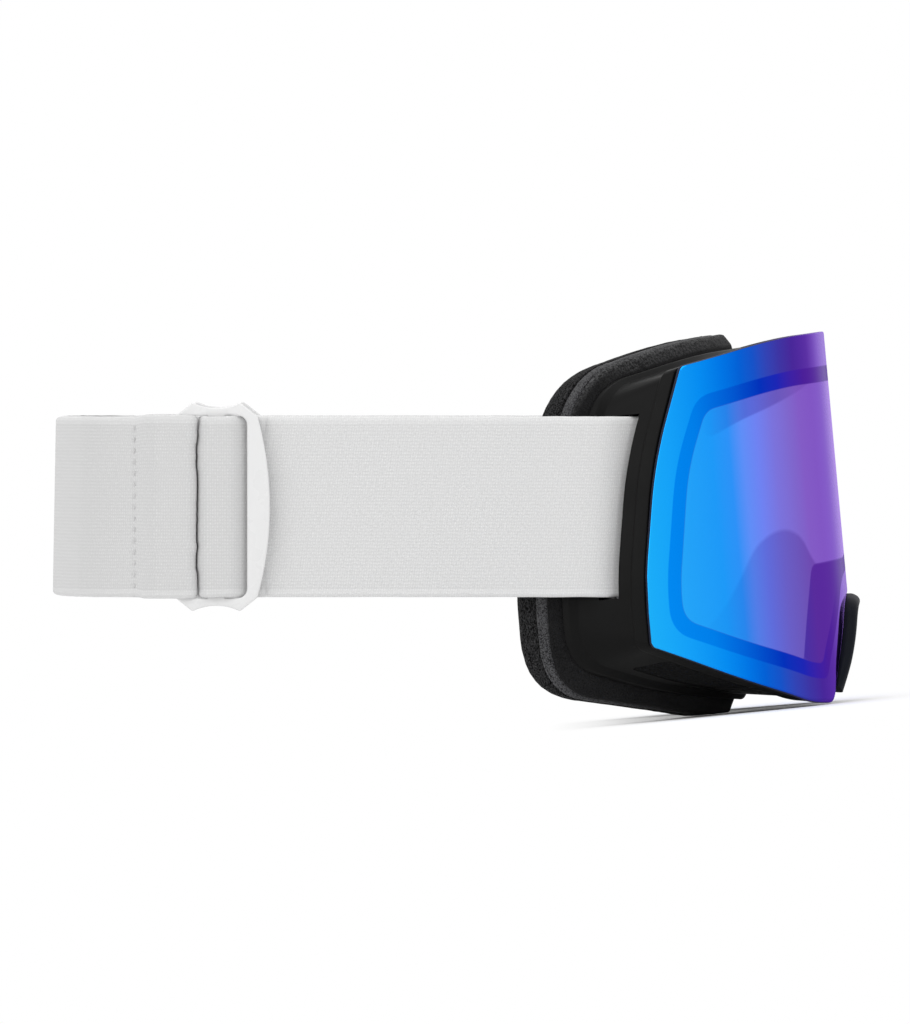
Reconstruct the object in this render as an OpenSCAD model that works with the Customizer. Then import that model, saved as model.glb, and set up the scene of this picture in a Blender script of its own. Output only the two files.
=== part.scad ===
// Snow goggles: a frameless wrap-round lens on a vented frame, laminated face foam
// and a webbing strap with two slides. The lens faces -Y, +Z is up, and X = 0 is the
// plane of symmetry. Widths named _u run along the curve of the lens.

/* [Lens] */
// Radius of the lens's outer face
lens_r = 96; // [92:1:104]
// Thickness of the outer lens
lens_t = 1.4; // [1:0.1:1.8]
// Height of the top edge at its middle
lens_top = 103; // [98:0.5:108]
// Half width along the curve where the top edge starts to fall
knee_u = 54.3; // [46:1:60]
// Fall of the top edge at the knee
knee_drop = 0.8; // [0.4:0.1:2]
// Half width along the curve at the top corners
brow_u = 92.2; // [84:0.2:94]
// Fall of the top edge at its corners
brow_drop = 6.1; // [4:0.1:9]
// Half width along the curve at the temples
temple_u = 103.2; // [97:0.2:105]
// Height of the temple point
temple_z = 72; // [66:1:78]
// Half width along the curve at the widest point
cheek_u = 109.6; // [106:0.4:112]
// Height at which the side turns vertical
bulge_z = 38; // [34:1:44]
// Height of the lower outer corners
cheek_z = 19.5; // [16:0.5:24]
// Half width along the curve at the middle of the lower edge
sole_u = 80.5; // [74:0.5:86]
// Height of the lower edge there
sole_z = 8.9; // [6:0.1:11]
// Half width along the curve near the nose end of the lower edge
toe_u = 50; // [46:1:56]
// Height of the lower edge there
toe_z = 1.1; // [0.6:0.1:2]
// Rounding reach of the lens's outer corners
lens_corner = 1.5; // [1:0.5:7]

/* [Inner pane] */
// Thickness of the gasket between the two panes
gasket_t = 3; // [2:0.1:4]
// Distance of the gasket from the lens's edge
gasket_in = 6.5; // [6.5:0.1:9]
// How much lower than the lens the gasket's top lies, besides that distance
gasket_drop = 2.9; // [0:0.1:5]
// Rounding reach of the gasket's upper corners
gasket_brow = 5; // [2:0.5:10]
// Rounding reach of the gasket's lower corners
gasket_cheek = 10; // [4:0.5:14]
// Width of the gasket
gasket_w = 4.3; // [3:0.1:7]
// Thickness of the inner pane
pane_t = 0.8; // [0.6:0.1:1.2]
// Thickness of the carrier rim behind the lens
carrier_t = 1.8; // [1.5:0.1:2.2]
// Distance of the carrier rim from the lens's edge
carrier_in = 1.5; // [1:0.1:1.8]
// Width of the carrier rim
carrier_w = 4.5; // [4.2:0.1:4.6]

/* [Nose] */
// Height of the nose arch
arch_z = 30.6; // [26:0.2:34]
// Half width along the curve at the arch's shoulders
arch_u = 13.8; // [11:0.2:16]
// Fall of the arch at its shoulders
arch_drop = 2.2; // [1:0.1:4]
// Half width along the curve at the arch's legs
leg_u = 30.5; // [28:0.5:33]
// Height of the legs' bend
leg_z = 9; // [7:0.5:11]
// Half width along the curve at the lens's nose corners
foot_u = 36; // [34.5:0.5:39]
// How far the nose piece's lip stands in front of the lens
lip_out = 4.1; // [2:0.1:5]
// Thickness of the nose piece's skirt
skirt_t = 1.8; // [1.2:0.1:2.4]
// Depth of the nose piece's skirt behind the lens
skirt_d = 17; // [10:1:20]

/* [Frame] */
// Depth of the frame from its front rim to its rear flange
frame_d = 22; // [20:0.5:26]
// How much further back the lower rear edge lies than the upper one
rear_fall = 1.6; // [0:0.1:2.5]
// Thickness of the frame's wall
wall_t = 2.4; // [2:0.1:3]
// Width of the front rim
rim_w = 5.4; // [5:0.1:6]
// Thickness of the front rim
rim_t = 2.2; // [2:0.1:2.8]
// Width of the rear flange
flange_w = 12; // [9:0.5:13]
// Thickness of the rear flange
flange_t = 2; // [1.6:0.1:2.6]
// Depth of the strip along the front edge, front to back
strip_d = 3.8; // [3:0.1:4.4]
// Depth of the hollow panel between the strip and the flange
panel_in = 1; // [0.4:0.1:1.4]
// Length of the slope from the strip down to the panel
panel_slope = 0.8; // [0.5:0.1:1.2]
// Height of the fillet between the panel and the flange
flange_fillet = 1.2; // [0.6:0.1:1.8]
// Share of the wrap angle by which the frame's sides lean inward
lean = 0.3; // [0.2:0.02:0.4]
// How far the flange's top lies under the lens's
flange_drop = 2.5; // [0:0.1:3]
// How much lower still it lies at its corners
flange_droop = 0.7; // [0:0.1:1.5]
// Rounding reach of the flange's top corners
flange_brow = 9; // [6:0.5:12]
// Rounding reach of the flange's lower corners
flange_cheek = 13; // [9:0.5:15]

/* [Vents] */
// Distance of the vents behind the front rim
vent_back = 6; // [5:0.5:8]
// Depth of the vents, front to back
vent_d = 10; // [6:0.5:11]
// Half width along the curve of the middle top vent
vent_mid_u = 11; // [8:0.5:14]
// Width of the ribs between the top vents
vent_rib = 4; // [3:0.5:6]
// Width of the side top vents
vent_side_w = 22; // [16:0.5:24]
// Where the lower vents start, along the curve
vent_low_u = 62; // [58:1:66]
// Length of the lower vents along the curve
vent_low_w = 34; // [24:1:36]
// Thickness of the vent foam
vent_foam_t = 1.6; // [1:0.1:2]

/* [Magnets] */
// Radius of the magnets
magnet_r = 1.7; // [1.2:0.1:1.9]
// Thickness of the magnets
magnet_t = 1.1; // [0.8:0.1:1.2]

/* [Face foam] */
// Rise of the foam above the lens's top edge
foam_rise = 1.9; // [0.5:0.1:3]
// How much lower the foam's top lies at its corners, besides the lens's own fall
foam_droop = 1.6; // [0:0.1:3]
// Rounding reach of the foam's upper corners
foam_brow = 16; // [8:1:24]
// Rounding reach of the foam's lower corners
foam_cheek = 24; // [10:1:28]
// Rounding of the foam's front edge
foam_edge = 1.7; // [0.5:0.1:2]
// Height of the foam's lower edge as a share of the lens's
foam_sole = 0.5; // [0.4:0.05:0.9]
// Depth to which the foam's lowest edge is cut flat
foam_flat = 0.6; // [0.6:0.1:1.2]
// Width of the foam
foam_w = 15; // [13:0.5:17]
// Thickness of the base layer
base_t = 4.4; // [3:0.1:6]
// Thickness of the middle layer at the ridge
ridge_t = 2.9; // [2:0.1:4]
// How far the crown stands behind the ridge
crown_t = 10; // [7:0.5:12]
// Thickness of the fleece
fleece_t = 1.2; // [1:0.1:2]
// Gap between glued soft layers
glue = 0.35; // [0.3:0.05:0.5]

/* [Strap] */
// Width of the webbing
strap_w = 50; // [40:1:52]
// Thickness of the webbing
strap_t = 1.6; // [1.2:0.1:1.8]
// Rise of the strap towards the back of the head
strap_rise = 5.24; // [0:0.1:8]
// Height of the strap's middle at the slot
strap_z = 59.7; // [57:0.5:62]
// How far the front straps stand outside their slots
strap_splay = 4.8; // [4:0.2:8]
// Distance from the slot to the strap's rearmost point
strap_back = 157; // [152:1:175]
// Radius of the strap's rear corners
corner_r = 22; // [16:1:26]
// Radius of the strap's bow behind the head
bow_r = 320; // [250:10:500]
// Distance from the slot to the end of the free tail
tail_end = 136.5; // [130:0.5:138]
// How far the free tail stands inward at its end
tail_in = 5; // [4:0.5:8]
// Distance of the slot behind the front rim
slot_back = 6.7; // [6:0.1:8]
// Width of the slot
slot_w = 5.2; // [4.8:0.1:6]
// Radius of the anchor rod
rod_r = 1.5; // [1.2:0.1:1.7]
// Distance of the rod inside the frame's outline
rod_in = 6.9; // [6.8:0.1:7.4]
// Length of the rod past each end of the slot
rod_seat = 2.6; // [2.4:0.1:3.2]
// Gap between the end of the slot and the rod's boss
boss_gap = 0.6; // [0.4:0.1:0.8]
// Thickness of the boss past the rod's end
boss_cap = 1.4; // [1:0.1:2]

/* [Slide] */
// Distance from the slot to the middle of the slide
slide_s = 112.2; // [100:0.1:114]
// Height of the slide across the strap
slide_h = 57.6; // [56:0.2:62]
// Half width of the slide at its middle
slide_half = 14.8; // [14:0.1:17]
// Bulge of the slide's long edges
slide_bulge = 3.4; // [2:0.1:4]
// Half distance between the slide's ears
ear_half = 6.5; // [5:0.1:8]
// Dip between the ears
ear_dip = 1.5; // [0.5:0.1:2]
// Thickness of the slide
slide_t = 2.4; // [2:0.1:3]
// Half width of the middle bar
bar_half = 2.2; // [1.8:0.1:2.4]
// Width of the front window
window_front = 5.5; // [5.2:0.1:6]
// Width of the rear window
window_rear = 6.4; // [6.2:0.1:6.8]
// Clearance between webbing and slide
play = 0.2; // [0.1:0.05:0.3]

/* [Seams and grip] */
// Distance from the slot to the seam
seam_s = 135.5; // [133:0.5:137]
// Length of a stitch
stitch_l = 1.6; // [0.8:0.1:2]
// Pitch of the stitches
stitch_pitch = 3.1; // [2.2:0.1:4]
// Thickness of the thread
thread_t = 0.4; // [0.3:0.05:0.6]
// Height of a grip line
grip_h = 2; // [1:0.2:3]
// Thickness of a grip line
grip_t = 0.5; // [0.3:0.1:0.8]
// Pitch of the grip lines
grip_pitch = 12; // [8:1:16]

/* [Hidden] */

// Points on each rounded corner of an outline, less one
ARC = 4;
// Longest share of an edge that a rounding may take
MOST = 0.48;
// Clearance between the carrier rim and the frame
SEAT_GAP = 0.2;
// Clearance round vent foam
VENT_GAP = 0.15;
// Inset of the frame behind the lens's edge
FRAME_IN = 0.6;
// How far the frame's lower nose corners lie above the lens's
FRAME_LIFT = 3.4;
// Height from which the perspective of the lens's edges is drawn
EYE_Z = 55;
// Distance of the flat end of the cutting cones, past the lens
FAR = 1.15;
// Clearance round the anchor rod in its bosses
ROD_GAP = 0.05;
// Room between each end of the slot and the webbing
SLOT_ROOM = 0.5;
// How far a cut reaches past the wall that it goes through
PAST = 4;

seat_t = lens_t + carrier_t + SEAT_GAP;
pane_r = lens_r - lens_t - gasket_t;
foam_front = frame_d + glue;
fall_from = strip_d + panel_slope;
fall_to = frame_d - flange_t - flange_fillet;

// Outlines, as lists of [u, z, rounding reach] on the unrolled lens

// Right half of an outline, from the middle of the top to the middle of the arch.
function half_outline(rise, sole, lift, brow, cheek, droop = 0) = [
    [0, lens_top + rise, 30],
    [knee_u, lens_top + rise - knee_drop - droop * 0.3, 30],
    [brow_u, lens_top + rise - brow_drop - droop, brow],
    [temple_u, temple_z, 14],
    [cheek_u, bulge_z, 9],
    [cheek_u, cheek_z * sole, cheek],
    [sole_u, sole_z * sole, 14],
    [toe_u, toe_z * sole + lift, 6],
    [foot_u, lift, 3],
    [leg_u, leg_z + lift / 2, 5],
    [arch_u, arch_z - arch_drop, 6],
    [0, arch_z, 6]];

lens_half = half_outline(0, 1, 0, lens_corner, lens_corner);
gasket_half = half_outline(-gasket_drop, 1, 0, gasket_brow, gasket_cheek);
flange_half = half_outline(-flange_drop, 0.86, FRAME_LIFT, flange_brow, flange_cheek,
    flange_droop);
foam_half = half_outline(foam_rise, foam_sole, -foam_flat, foam_brow, foam_cheek, foam_droop);

// Shift that puts the origin under the middle of the whole object
rear_y = -frame_slot_f() + (strap_back + strap_t / 2) * cos(strap_rise)
    + strap_w / 2 * sin(strap_rise);
shift_y = (lens_r + lip_out - rear_y) / 2;

// Both halves, clockwise as seen from the front.
function whole(half) = concat(half,
    [for (i = [len(half) - 2 : -1 : 1]) [-half[i][0], half[i][1], half[i][2]]]);

// Point for point mix of two halves, a at 0 and b at 1.
function mix(a, b, share) = [for (i = [0 : len(a) - 1]) a[i] * (1 - share) + b[i] * share];

function flat(p) = [p[0], p[1]];
function unit(v) = v / norm(v);
function inward(v) = [v[1], -v[0]];

// Outline drawn in by a distance.
function drawn_in(line, distance) = let (n = len(line)) [for (i = [0 : n - 1])
    let (
        here = flat(line[i]),
        a = inward(unit(here - flat(line[(i + n - 1) % n]))),
        b = inward(unit(flat(line[(i + 1) % n]) - here)),
        moved = here + distance * (a + b) / (1 + a * b))
    [moved[0], moved[1], line[i][2]]];

// Outline with each corner rounded.
function rounded(line) = let (n = len(line)) [for (i = [0 : n - 1])
    let (
        here = flat(line[i]),
        back = flat(line[(i + n - 1) % n]) - here,
        on = flat(line[(i + 1) % n]) - here,
        reach = min(line[i][2], MOST * norm(back), MOST * norm(on)),
        p = here + unit(back) * reach,
        q = here + unit(on) * reach)
    for (k = [0 : ARC]) let (s = k / ARC)
        p * (1 - s) * (1 - s) + here * 2 * s * (1 - s) + q * s * s];

// How far back a place lies besides its own depth, for its height.
function fall(z, back) = rear_fall
    * max(0, min(1, (lens_top - brow_drop - z) / (lens_top - brow_drop - bulge_z)))
    * max(0, min(1, (back - fall_from) / (fall_to - fall_from)));

function angle_at(u) = u / lens_r * 180 / PI;

// Point of the row for a place on the unrolled lens, deep in the wall and then back.
function place(u, z, deep, back) = let (a = angle_at(u), r = lens_r - deep) [
    r * sin(a) - back * sin(lean * a),
    -r * cos(a) + back * cos(lean * a) + fall(z, back) + shift_y,
    max(z, 0)];

function loop(half, inset, deep, back) =
    [for (p = rounded(drawn_in(whole(half), inset))) place(p[0], p[1], deep, back)];

// Ring through closed loops of points, the last of which meets the first.
module ring(loops) {
    n = len(loops[0]);
    k = len(loops);
    polyhedron(
        points = [for (l = loops) for (p = l) p],
        faces = [for (j = [0 : k - 1]) for (i = [0 : n - 1]) let (
                a = j * n + i,
                b = j * n + (i + 1) % n,
                c = (j + 1) % k * n + (i + 1) % n,
                d = (j + 1) % k * n + i)
            each [[a, b, c], [a, c, d]]]);
}

// Bar through sections of points. Each section runs along one side and back along the
// other, point opposite point, and both ends are closed by a strip between the sides.
module bar(sections) {
    n = len(sections[0]);
    k = len(sections);
    polyhedron(
        points = [for (s = sections) for (p = s) p],
        faces = concat(
            [for (j = [0 : k - 2]) for (i = [0 : n - 1]) let (
                    a = j * n + i,
                    b = j * n + (i + 1) % n,
                    c = (j + 1) * n + (i + 1) % n,
                    d = (j + 1) * n + i)
                each [[a, b, c], [a, c, d]]],
            [for (i = [0 : n / 2 - 2])
                each [[n - 2 - i, i + 1, i], [n - 1 - i, n - 2 - i, i]]],
            [for (i = [0 : n / 2 - 2]) let (e = (k - 1) * n)
                each [[e + i, e + i + 1, e + n - 2 - i], [e + i, e + n - 2 - i, e + n - 1 - i]]]));
}

// Straight rod between two points.
module rod(p, q, r) {
    v = q - p;
    translate(p)
        rotate([0, acos(v[2] / norm(v)), atan2(v[1], v[0])])
            cylinder(h = norm(v), r = r, $fn = 48);
}

// The side at X > 0, or its mirror image.
module on_side(side) {
    mirror([side < 0 ? 1 : 0, 0, 0]) children();
}

// Lens assembly

// Cone from a point on the lens's axis through an outline on the lens.
module cone_through(half, inset) {
    line = rounded(drawn_in(whole(half), inset));
    n = len(line);
    base_y = lens_r * FAR;
    eye = [0, shift_y, EYE_Z];
    rim = [for (p = line) let (
            a = angle_at(p[0]),
            v = [lens_r * sin(a), -lens_r * cos(a), p[1] - EYE_Z])
        eye + v * base_y / (lens_r * cos(a))];
    polyhedron(
        points = concat([eye], rim),
        faces = concat(
            [for (i = [0 : n - 1]) [0, 1 + (i + 1) % n, 1 + i]],
            [[for (i = [0 : n - 1]) 1 + i]]));
}

// Part of a tube about the lens's axis.
module tube(outer, inner) {
    translate([0, shift_y, -20])
        difference() {
            cylinder(h = lens_top + 40, r = outer, $fn = 180);
            translate([0, 0, -1])
                cylinder(h = lens_top + 42, r = inner, $fn = 180);
        }
}

module outer_lens() {
    color("dodgerblue")
        intersection() {
            tube(lens_r, lens_r - lens_t);
            cone_through(lens_half, 0);
        }
}

// Ring that follows an outline, from one inset to another, through the tubes.
module outline_ring(half, from, to) {
    ring([
        loop(half, from, -PAST / 2, 0),
        loop(half, to, -PAST / 2, 0),
        loop(half, to, seat_t + PAST, 0),
        loop(half, from, seat_t + PAST, 0)]);
}

module lens_gasket() {
    color("midnightblue")
        intersection() {
            tube(lens_r - lens_t, pane_r);
            outline_ring(gasket_half, gasket_in, gasket_in + gasket_w);
        }
}

module inner_lens() {
    color("lightsteelblue")
        intersection() {
            tube(pane_r, pane_r - pane_t);
            cone_through(gasket_half, gasket_in);
        }
}

// Places of the magnets on the right half, as [u, z].
magnet_in = carrier_in + carrier_w / 2;
magnets = [
    [knee_u / 2, z_top(knee_u / 2, 0) - magnet_in],
    [brow_u - 12, z_top(brow_u - 12, 0) - magnet_in],
    [u_side(strap_z, 0) - magnet_in, strap_z],
    [sole_u, z_sole(sole_u, 0) + magnet_in]];

// Discs through the magnets' places between two radii.
module at_magnets(outer, thick, r) {
    for (side = [-1, 1]) on_side(side)
        for (m = magnets)
            translate([0, shift_y, m[1]])
                rotate([0, 0, angle_at(m[0])])
                    translate([0, thick - outer, 0])
                        rotate([90, 0, 0])
                            cylinder(h = thick, r = r, $fn = 32);
}

carrier_back = lens_r - lens_t - carrier_t;

module lens_carrier() {
    color("black")
        difference() {
            intersection() {
                tube(lens_r - lens_t, carrier_back);
                outline_ring(lens_half, carrier_in, carrier_in + carrier_w);
            }
            at_magnets(carrier_back + magnet_t, magnet_t + PAST / 4, magnet_r);
        }
}

module lens_magnets() {
    color("silver")
        at_magnets(carrier_back + magnet_t, magnet_t, magnet_r);
}

// Frame

// Outline of the frame at a depth behind its front rim.
function frame_half(back) = mix(lens_half, flange_half, back / frame_d);
function frame_loop(inset, back) = loop(frame_half(back), inset, seat_t, back);

// Edge of the frame's outline at a depth: height of the top and of the lower edge at
// a width, and half width of the side at a height.
function edge(back) = rounded(whole(frame_half(back)));
function z_top(u, back) = lookup(u, [for (p = edge(back)) if (p[1] > temple_z + 18) flat(p)]);
function z_sole(u, back) = lookup(u,
    [for (p = edge(back)) if (p[0] > foot_u && p[1] < cheek_z - 1) flat(p)]);
function u_side(z, back) = lookup(z,
    [for (p = edge(back)) if (p[0] > brow_u && p[1] > cheek_z + 1) [p[1], p[0]]]);

// Distance of the slot in front of the lens's axis, at the strap's height.
function frame_slot_f() = let (a = angle_at(u_side(strap_z, slot_back)))
    (lens_r - seat_t) * cos(a) - slot_back * cos(lean * a) - fall(strap_z, slot_back);

// Block through the top wall (side 1) or the lower wall (side -1) of the frame.
module wall_block(u0, u1, z_out, z_in, back, depth, side) {
    steps = 6;
    bar([for (k = [0 : steps]) let (
            u = u0 + (u1 - u0) * k / steps,
            far = back + depth,
            za = side > 0 ? z_top(u, back) : z_sole(u, back),
            zb = side > 0 ? z_top(u, far) : z_sole(u, far))
        [place(u, za + z_out, seat_t, back), place(u, zb + z_out, seat_t, far),
            place(u, zb + z_in, seat_t, far), place(u, za + z_in, seat_t, back)]]);
}

// Ends of a top vent on the right half, as [from, to] along the curve.
top_vents = [for (k = [0 : 1]) let (start = vent_mid_u + vent_rib + k * (vent_side_w + vent_rib))
    [start, start + vent_side_w]];

// All vents, drawn smaller by a gap, between two heights inward of the outline.
module top_vent_blocks(out, in, gap) {
    wall_block(-vent_mid_u + gap, vent_mid_u - gap, -out, -in,
        vent_back + gap, vent_d - 2 * gap, 1);
    for (side = [-1, 1]) on_side(side)
        for (v = top_vents)
            wall_block(v[0] + gap, v[1] - gap, -out, -in,
                vent_back + gap, vent_d - 2 * gap, 1);
}

module bottom_vent_block(out, in, gap) {
    wall_block(vent_low_u + vent_low_w - gap, vent_low_u + gap, out, in,
        vent_back + gap, vent_d - 2 * gap, -1);
}

wall_in = FRAME_IN + panel_in;

// Place on the outline of the side wall, at a height and depth, moved inward along X.
function on_wall(z, back, in) = place(u_side(z, back), z, seat_t, back) - [in, 0, 0];

// Distance along X to a skin of the side wall that is drawn in by an inset.
function across(z, inset) = let (a = angle_at(u_side(z, slot_back)))
    inset * cos(a - lean * a) / cos(lean * a);

// Half height of the slot, which leaves the webbing room at both ends
slot_half = strap_w / 2 + SLOT_ROOM;

module slot_block() {
    steps = 8;
    bar([for (k = [0 : steps]) let (z = strap_z - slot_half + 2 * slot_half * k / steps) [
        on_wall(z, slot_back + slot_w, -PAST),
        on_wall(z, slot_back, -PAST),
        on_wall(z, slot_back, wall_in + wall_t + PAST / 4),
        on_wall(z, slot_back + slot_w, wall_in + wall_t + PAST / 4)]]);
}

rod_back = slot_back - 0.4 * rod_r;
boss_r = rod_in - wall_t;
function rod_end(side) = on_wall(strap_z + side * (slot_half + rod_seat), rod_back, rod_in);
rod_way = unit(rod_end(1) - rod_end(-1));

module rod_bosses() {
    for (end = [-1, 1])
        rod(rod_end(end) - end * rod_way * (rod_seat - boss_gap),
            rod_end(end) + end * rod_way * boss_cap, boss_r);
}

module frame_shell() {
    inner = wall_in + wall_t;
    color("#202020")
        difference() {
            union() {
                ring([
                    frame_loop(FRAME_IN, 0),
                    frame_loop(FRAME_IN + rim_w, 0),
                    frame_loop(FRAME_IN + rim_w, rim_t),
                    frame_loop(inner, rim_t + panel_slope / 2),
                    frame_loop(inner, frame_d - flange_t - panel_slope / 2),
                    frame_loop(flange_w, frame_d - flange_t),
                    frame_loop(flange_w, frame_d),
                    frame_loop(0, frame_d),
                    frame_loop(0, frame_d - flange_t),
                    frame_loop(wall_in, frame_d - flange_t - flange_fillet),
                    frame_loop(wall_in, strip_d + panel_slope),
                    frame_loop(FRAME_IN, strip_d)]);
                for (side = [-1, 1]) on_side(side) rod_bosses();
            }
            for (side = [-1, 1]) on_side(side) {
                slot_block();
                bottom_vent_block(-PAST, inner + PAST / 2, 0);
                rod(rod_end(-1), rod_end(1), rod_r + ROD_GAP);
            }
            top_vent_blocks(-PAST, inner + PAST / 2, 0);
            at_magnets(lens_r - seat_t + PAST / 4, magnet_t + PAST / 4, magnet_r);
        }
}

module frame_magnets() {
    color("silver")
        at_magnets(lens_r - seat_t, magnet_t, magnet_r);
}

module top_vent_foam() {
    color("#303030")
        top_vent_blocks(wall_in + 0.4, wall_in + 0.4 + vent_foam_t, VENT_GAP);
}

module bottom_vent_foam(side) {
    color("#303030")
        on_side(side)
            bottom_vent_block(wall_in + 0.4, wall_in + 0.4 + vent_foam_t, VENT_GAP);
}

// Nose piece: a skirt under the arch with a rolled lip in front of the lens.

// First and last point of the arch on a rounded outline
ARCH_FROM = 9 * (ARC + 1);
ARCH_TO = 14 * (ARC + 1) - 1;
// Clearance between the nose piece and what it lies against
NOSE_GAP = 0.2;

lip_in = 0.5;
lip_w = 3.5;
skirt_in = NOSE_GAP - FRAME_IN;
panel_seat = NOSE_GAP - wall_in;

slope_from = -seat_t - strip_d + NOSE_GAP;
slope_to = -seat_t - strip_d - panel_slope - NOSE_GAP;

// Section of the nose piece, as [distance under the outline, distance before the lens],
// from the lip's tip down its free side and back up the side against the frame.
// It narrows to the frame at the ends of the arch.
function lip_section(size) = [
    [lip_in + 0.65 * lip_w, lip_out * size],
    [lip_in + lip_w, lip_out * 0.8 * size],
    [lip_in + lip_w, -lens_t / 3],
    [lip_in + lip_w * 0.7, -seat_t + NOSE_GAP],
    [skirt_in + skirt_t, -seat_t - skirt_t],
    [skirt_in + skirt_t, slope_from],
    [panel_seat + skirt_t, slope_to],
    [panel_seat + skirt_t, -skirt_d],
    [panel_seat, -skirt_d],
    [panel_seat, slope_to],
    [skirt_in, slope_from],
    [skirt_in, -seat_t],
    [lip_in, -seat_t + NOSE_GAP],
    [lip_in, 0],
    [lip_in + 0.1, lip_out * 0.4 * size],
    [lip_in + 0.3 * lip_w, lip_out * 0.85 * size]];

module nose_piece() {
    color("#20262e")
        bar([for (i = [ARCH_FROM : ARCH_TO]) let (
                share = (i - ARCH_FROM) / (ARCH_TO - ARCH_FROM),
                size = 1 - 0.8 * pow(abs(2 * share - 1), 6))
            [for (s = lip_section(size)) let (
                    deep = min(-s[1], seat_t),
                    back = max(-s[1] - seat_t, 0),
                    line = edge(back),
                    under = -inward(unit(line[i + 1] - line[i - 1])),
                    at = line[i] + under * s[0])
                place(at[0], at[1], deep, back)]]);
}

// Face foam

function foam_loop(inset, back) = loop(foam_half, inset, seat_t, back);

base_back = foam_front + base_t;
mid_front = base_back + glue;
ridge_back = mid_front + ridge_t;

module face_foam_base() {
    color("#2c2e33")
        ring([
            foam_loop(foam_edge * 0.8, foam_front),
            foam_loop(foam_w - 1, foam_front),
            foam_loop(foam_w, base_back),
            foam_loop(0, base_back),
            foam_loop(0, foam_front + foam_edge)]);
}

// Crown of the foam, as [share of the width, share of the crown's rise].
crown = [[0.03, 0.33], [0.14, 0.66], [0.42, 1], [0.94, 0.5]];

// Loops over the crown, drawn in by a skin.
function crown_loops(skin) = [for (c = crown)
    foam_loop(skin + c[0] * (foam_w - 2 * skin), ridge_back + c[1] * (crown_t - skin))];

module face_foam_mid() {
    skin = fleece_t + glue;
    color("#3a3c42")
        ring(concat(
            [foam_loop(0, mid_front), foam_loop(foam_w, mid_front)],
            reversed(crown_loops(skin)),
            [foam_loop(skin, ridge_back + glue), foam_loop(0, ridge_back)]));
}

module face_foam_fleece() {
    color("#1b1c20")
        ring(concat(
            [foam_loop(fleece_t, ridge_back + glue)],
            crown_loops(fleece_t),
            [foam_loop(foam_w, ridge_back + 0.2 * crown_t)],
            reversed(crown_loops(0)),
            [foam_loop(0, ridge_back + glue)]));
}

// Strap. Its plan is drawn in [x, s], where s runs back from the slot.

slot_y = -frame_slot_f() + shift_y;

module in_strap() {
    translate([0, slot_y, strap_z])
        rotate([strap_rise, 0, 0])
            children();
}

// Webbing of the strap's width along a plan.
module webbing(line) {
    in_strap()
        translate([0, 0, -strap_w / 2])
            linear_extrude(strap_w)
                polygon(band(line, strap_t));
}

// Closed band of a thickness along an open line.
function side_line(line, off) = let (n = len(line)) [for (i = [0 : n - 1]) let (
        a = unit(line[i] - line[max(i - 1, 0)] + (i == 0 ? line[1] - line[0] : [0, 0])),
        b = unit(line[min(i + 1, n - 1)] - line[i] + (i == n - 1 ? line[i] - line[i - 1] : [0, 0])))
    line[i] + off * inward(a + b) / (1 + a * b)];
function reversed(line) = [for (i = [len(line) - 1 : -1 : 0]) line[i]];
function band(line, thick) = concat(side_line(line, thick / 2),
    reversed(side_line(line, -thick / 2)));

// Middle of the slot at a height, and the front strap's distance from the middle plane
function slot_middle(z) =
    on_wall(z, slot_back + slot_w / 2, across(z, wall_in + wall_t / 2));
strap_x = slot_middle(strap_z)[0] + strap_splay;

// The side at X > 0 of each strap part lies at these distances outside strap_x.
under_x = strap_t + play;
plate_x = under_x + strap_t / 2 + play;
over_x = plate_x + slide_t + play + strap_t / 2;
rear_x = under_x + strap_t + 0.1;

// Place on the rod's axis at a height, and the same in strap terms.
function rod_at(w) = let (
        reach = slot_half + rod_seat,
        share = (w * cos(strap_rise) + reach) / (2 * reach))
    rod_end(-1) * (1 - share) + rod_end(1) * share;
function s_of(p) = (p[1] - slot_y) * cos(strap_rise) + (p[2] - strap_z) * sin(strap_rise);

// Clearance between the rod, cut across at its slant, and the hem round it
HEM_GAP = 0.3;
hem_r = (rod_r + HEM_GAP) / (rod_way[2] * cos(strap_rise) - rod_way[1] * sin(strap_rise))
    + strap_t / 2;

// Plan of the front strap at a height w above its middle.
function front_line(w) = let (
        hole = slot_middle(strap_z + w),
        axis = rod_at(w),
        x_hole = hole[0],
        s_axis = s_of(axis),
        s_hole = s_of(hole)) concat(
    [[axis[0] - hem_r + 0.6, s_axis + 3.4]],
    [for (a = [180 : 36 : 360]) [axis[0] + hem_r * cos(a), s_axis + hem_r * sin(a)]], [
    [max(x_hole - 1.3, axis[0] + hem_r), max(s_hole, s_axis + 2) - 1.5],
    [max(x_hole, axis[0] + hem_r) + 1.5, s_hole + 1.4],
    [x_hole * 0.6 + strap_x * 0.4 + 1.4, s_hole + 7],
    [x_hole * 0.2 + strap_x * 0.8, s_hole + 22],
    [strap_x, s_hole + 42],
    [strap_x, slide_s],
    [strap_x - tail_in * 0.4, slide_s * 0.5 + tail_end * 0.5],
    [strap_x - tail_in, tail_end]]);

module strap_front(side) {
    steps = 8;
    color("#dcdee4")
        on_side(side)
            bar([for (k = [0 : steps]) let (w = strap_w * (k / steps - 0.5))
                [for (p = reversed(band(front_line(w), strap_t)))
                    [p[0],
                        slot_y + p[1] * cos(strap_rise) - w * sin(strap_rise),
                        strap_z + p[1] * sin(strap_rise) + w * cos(strap_rise)]]]);
}

module strap_anchor(side) {
    color("dimgray")
        on_side(side)
            rod(rod_end(-1), rod_end(1), rod_r);
}

// Slide

function bulge_r(half, rise) = (half * half + rise * rise) / (2 * rise);

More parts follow.
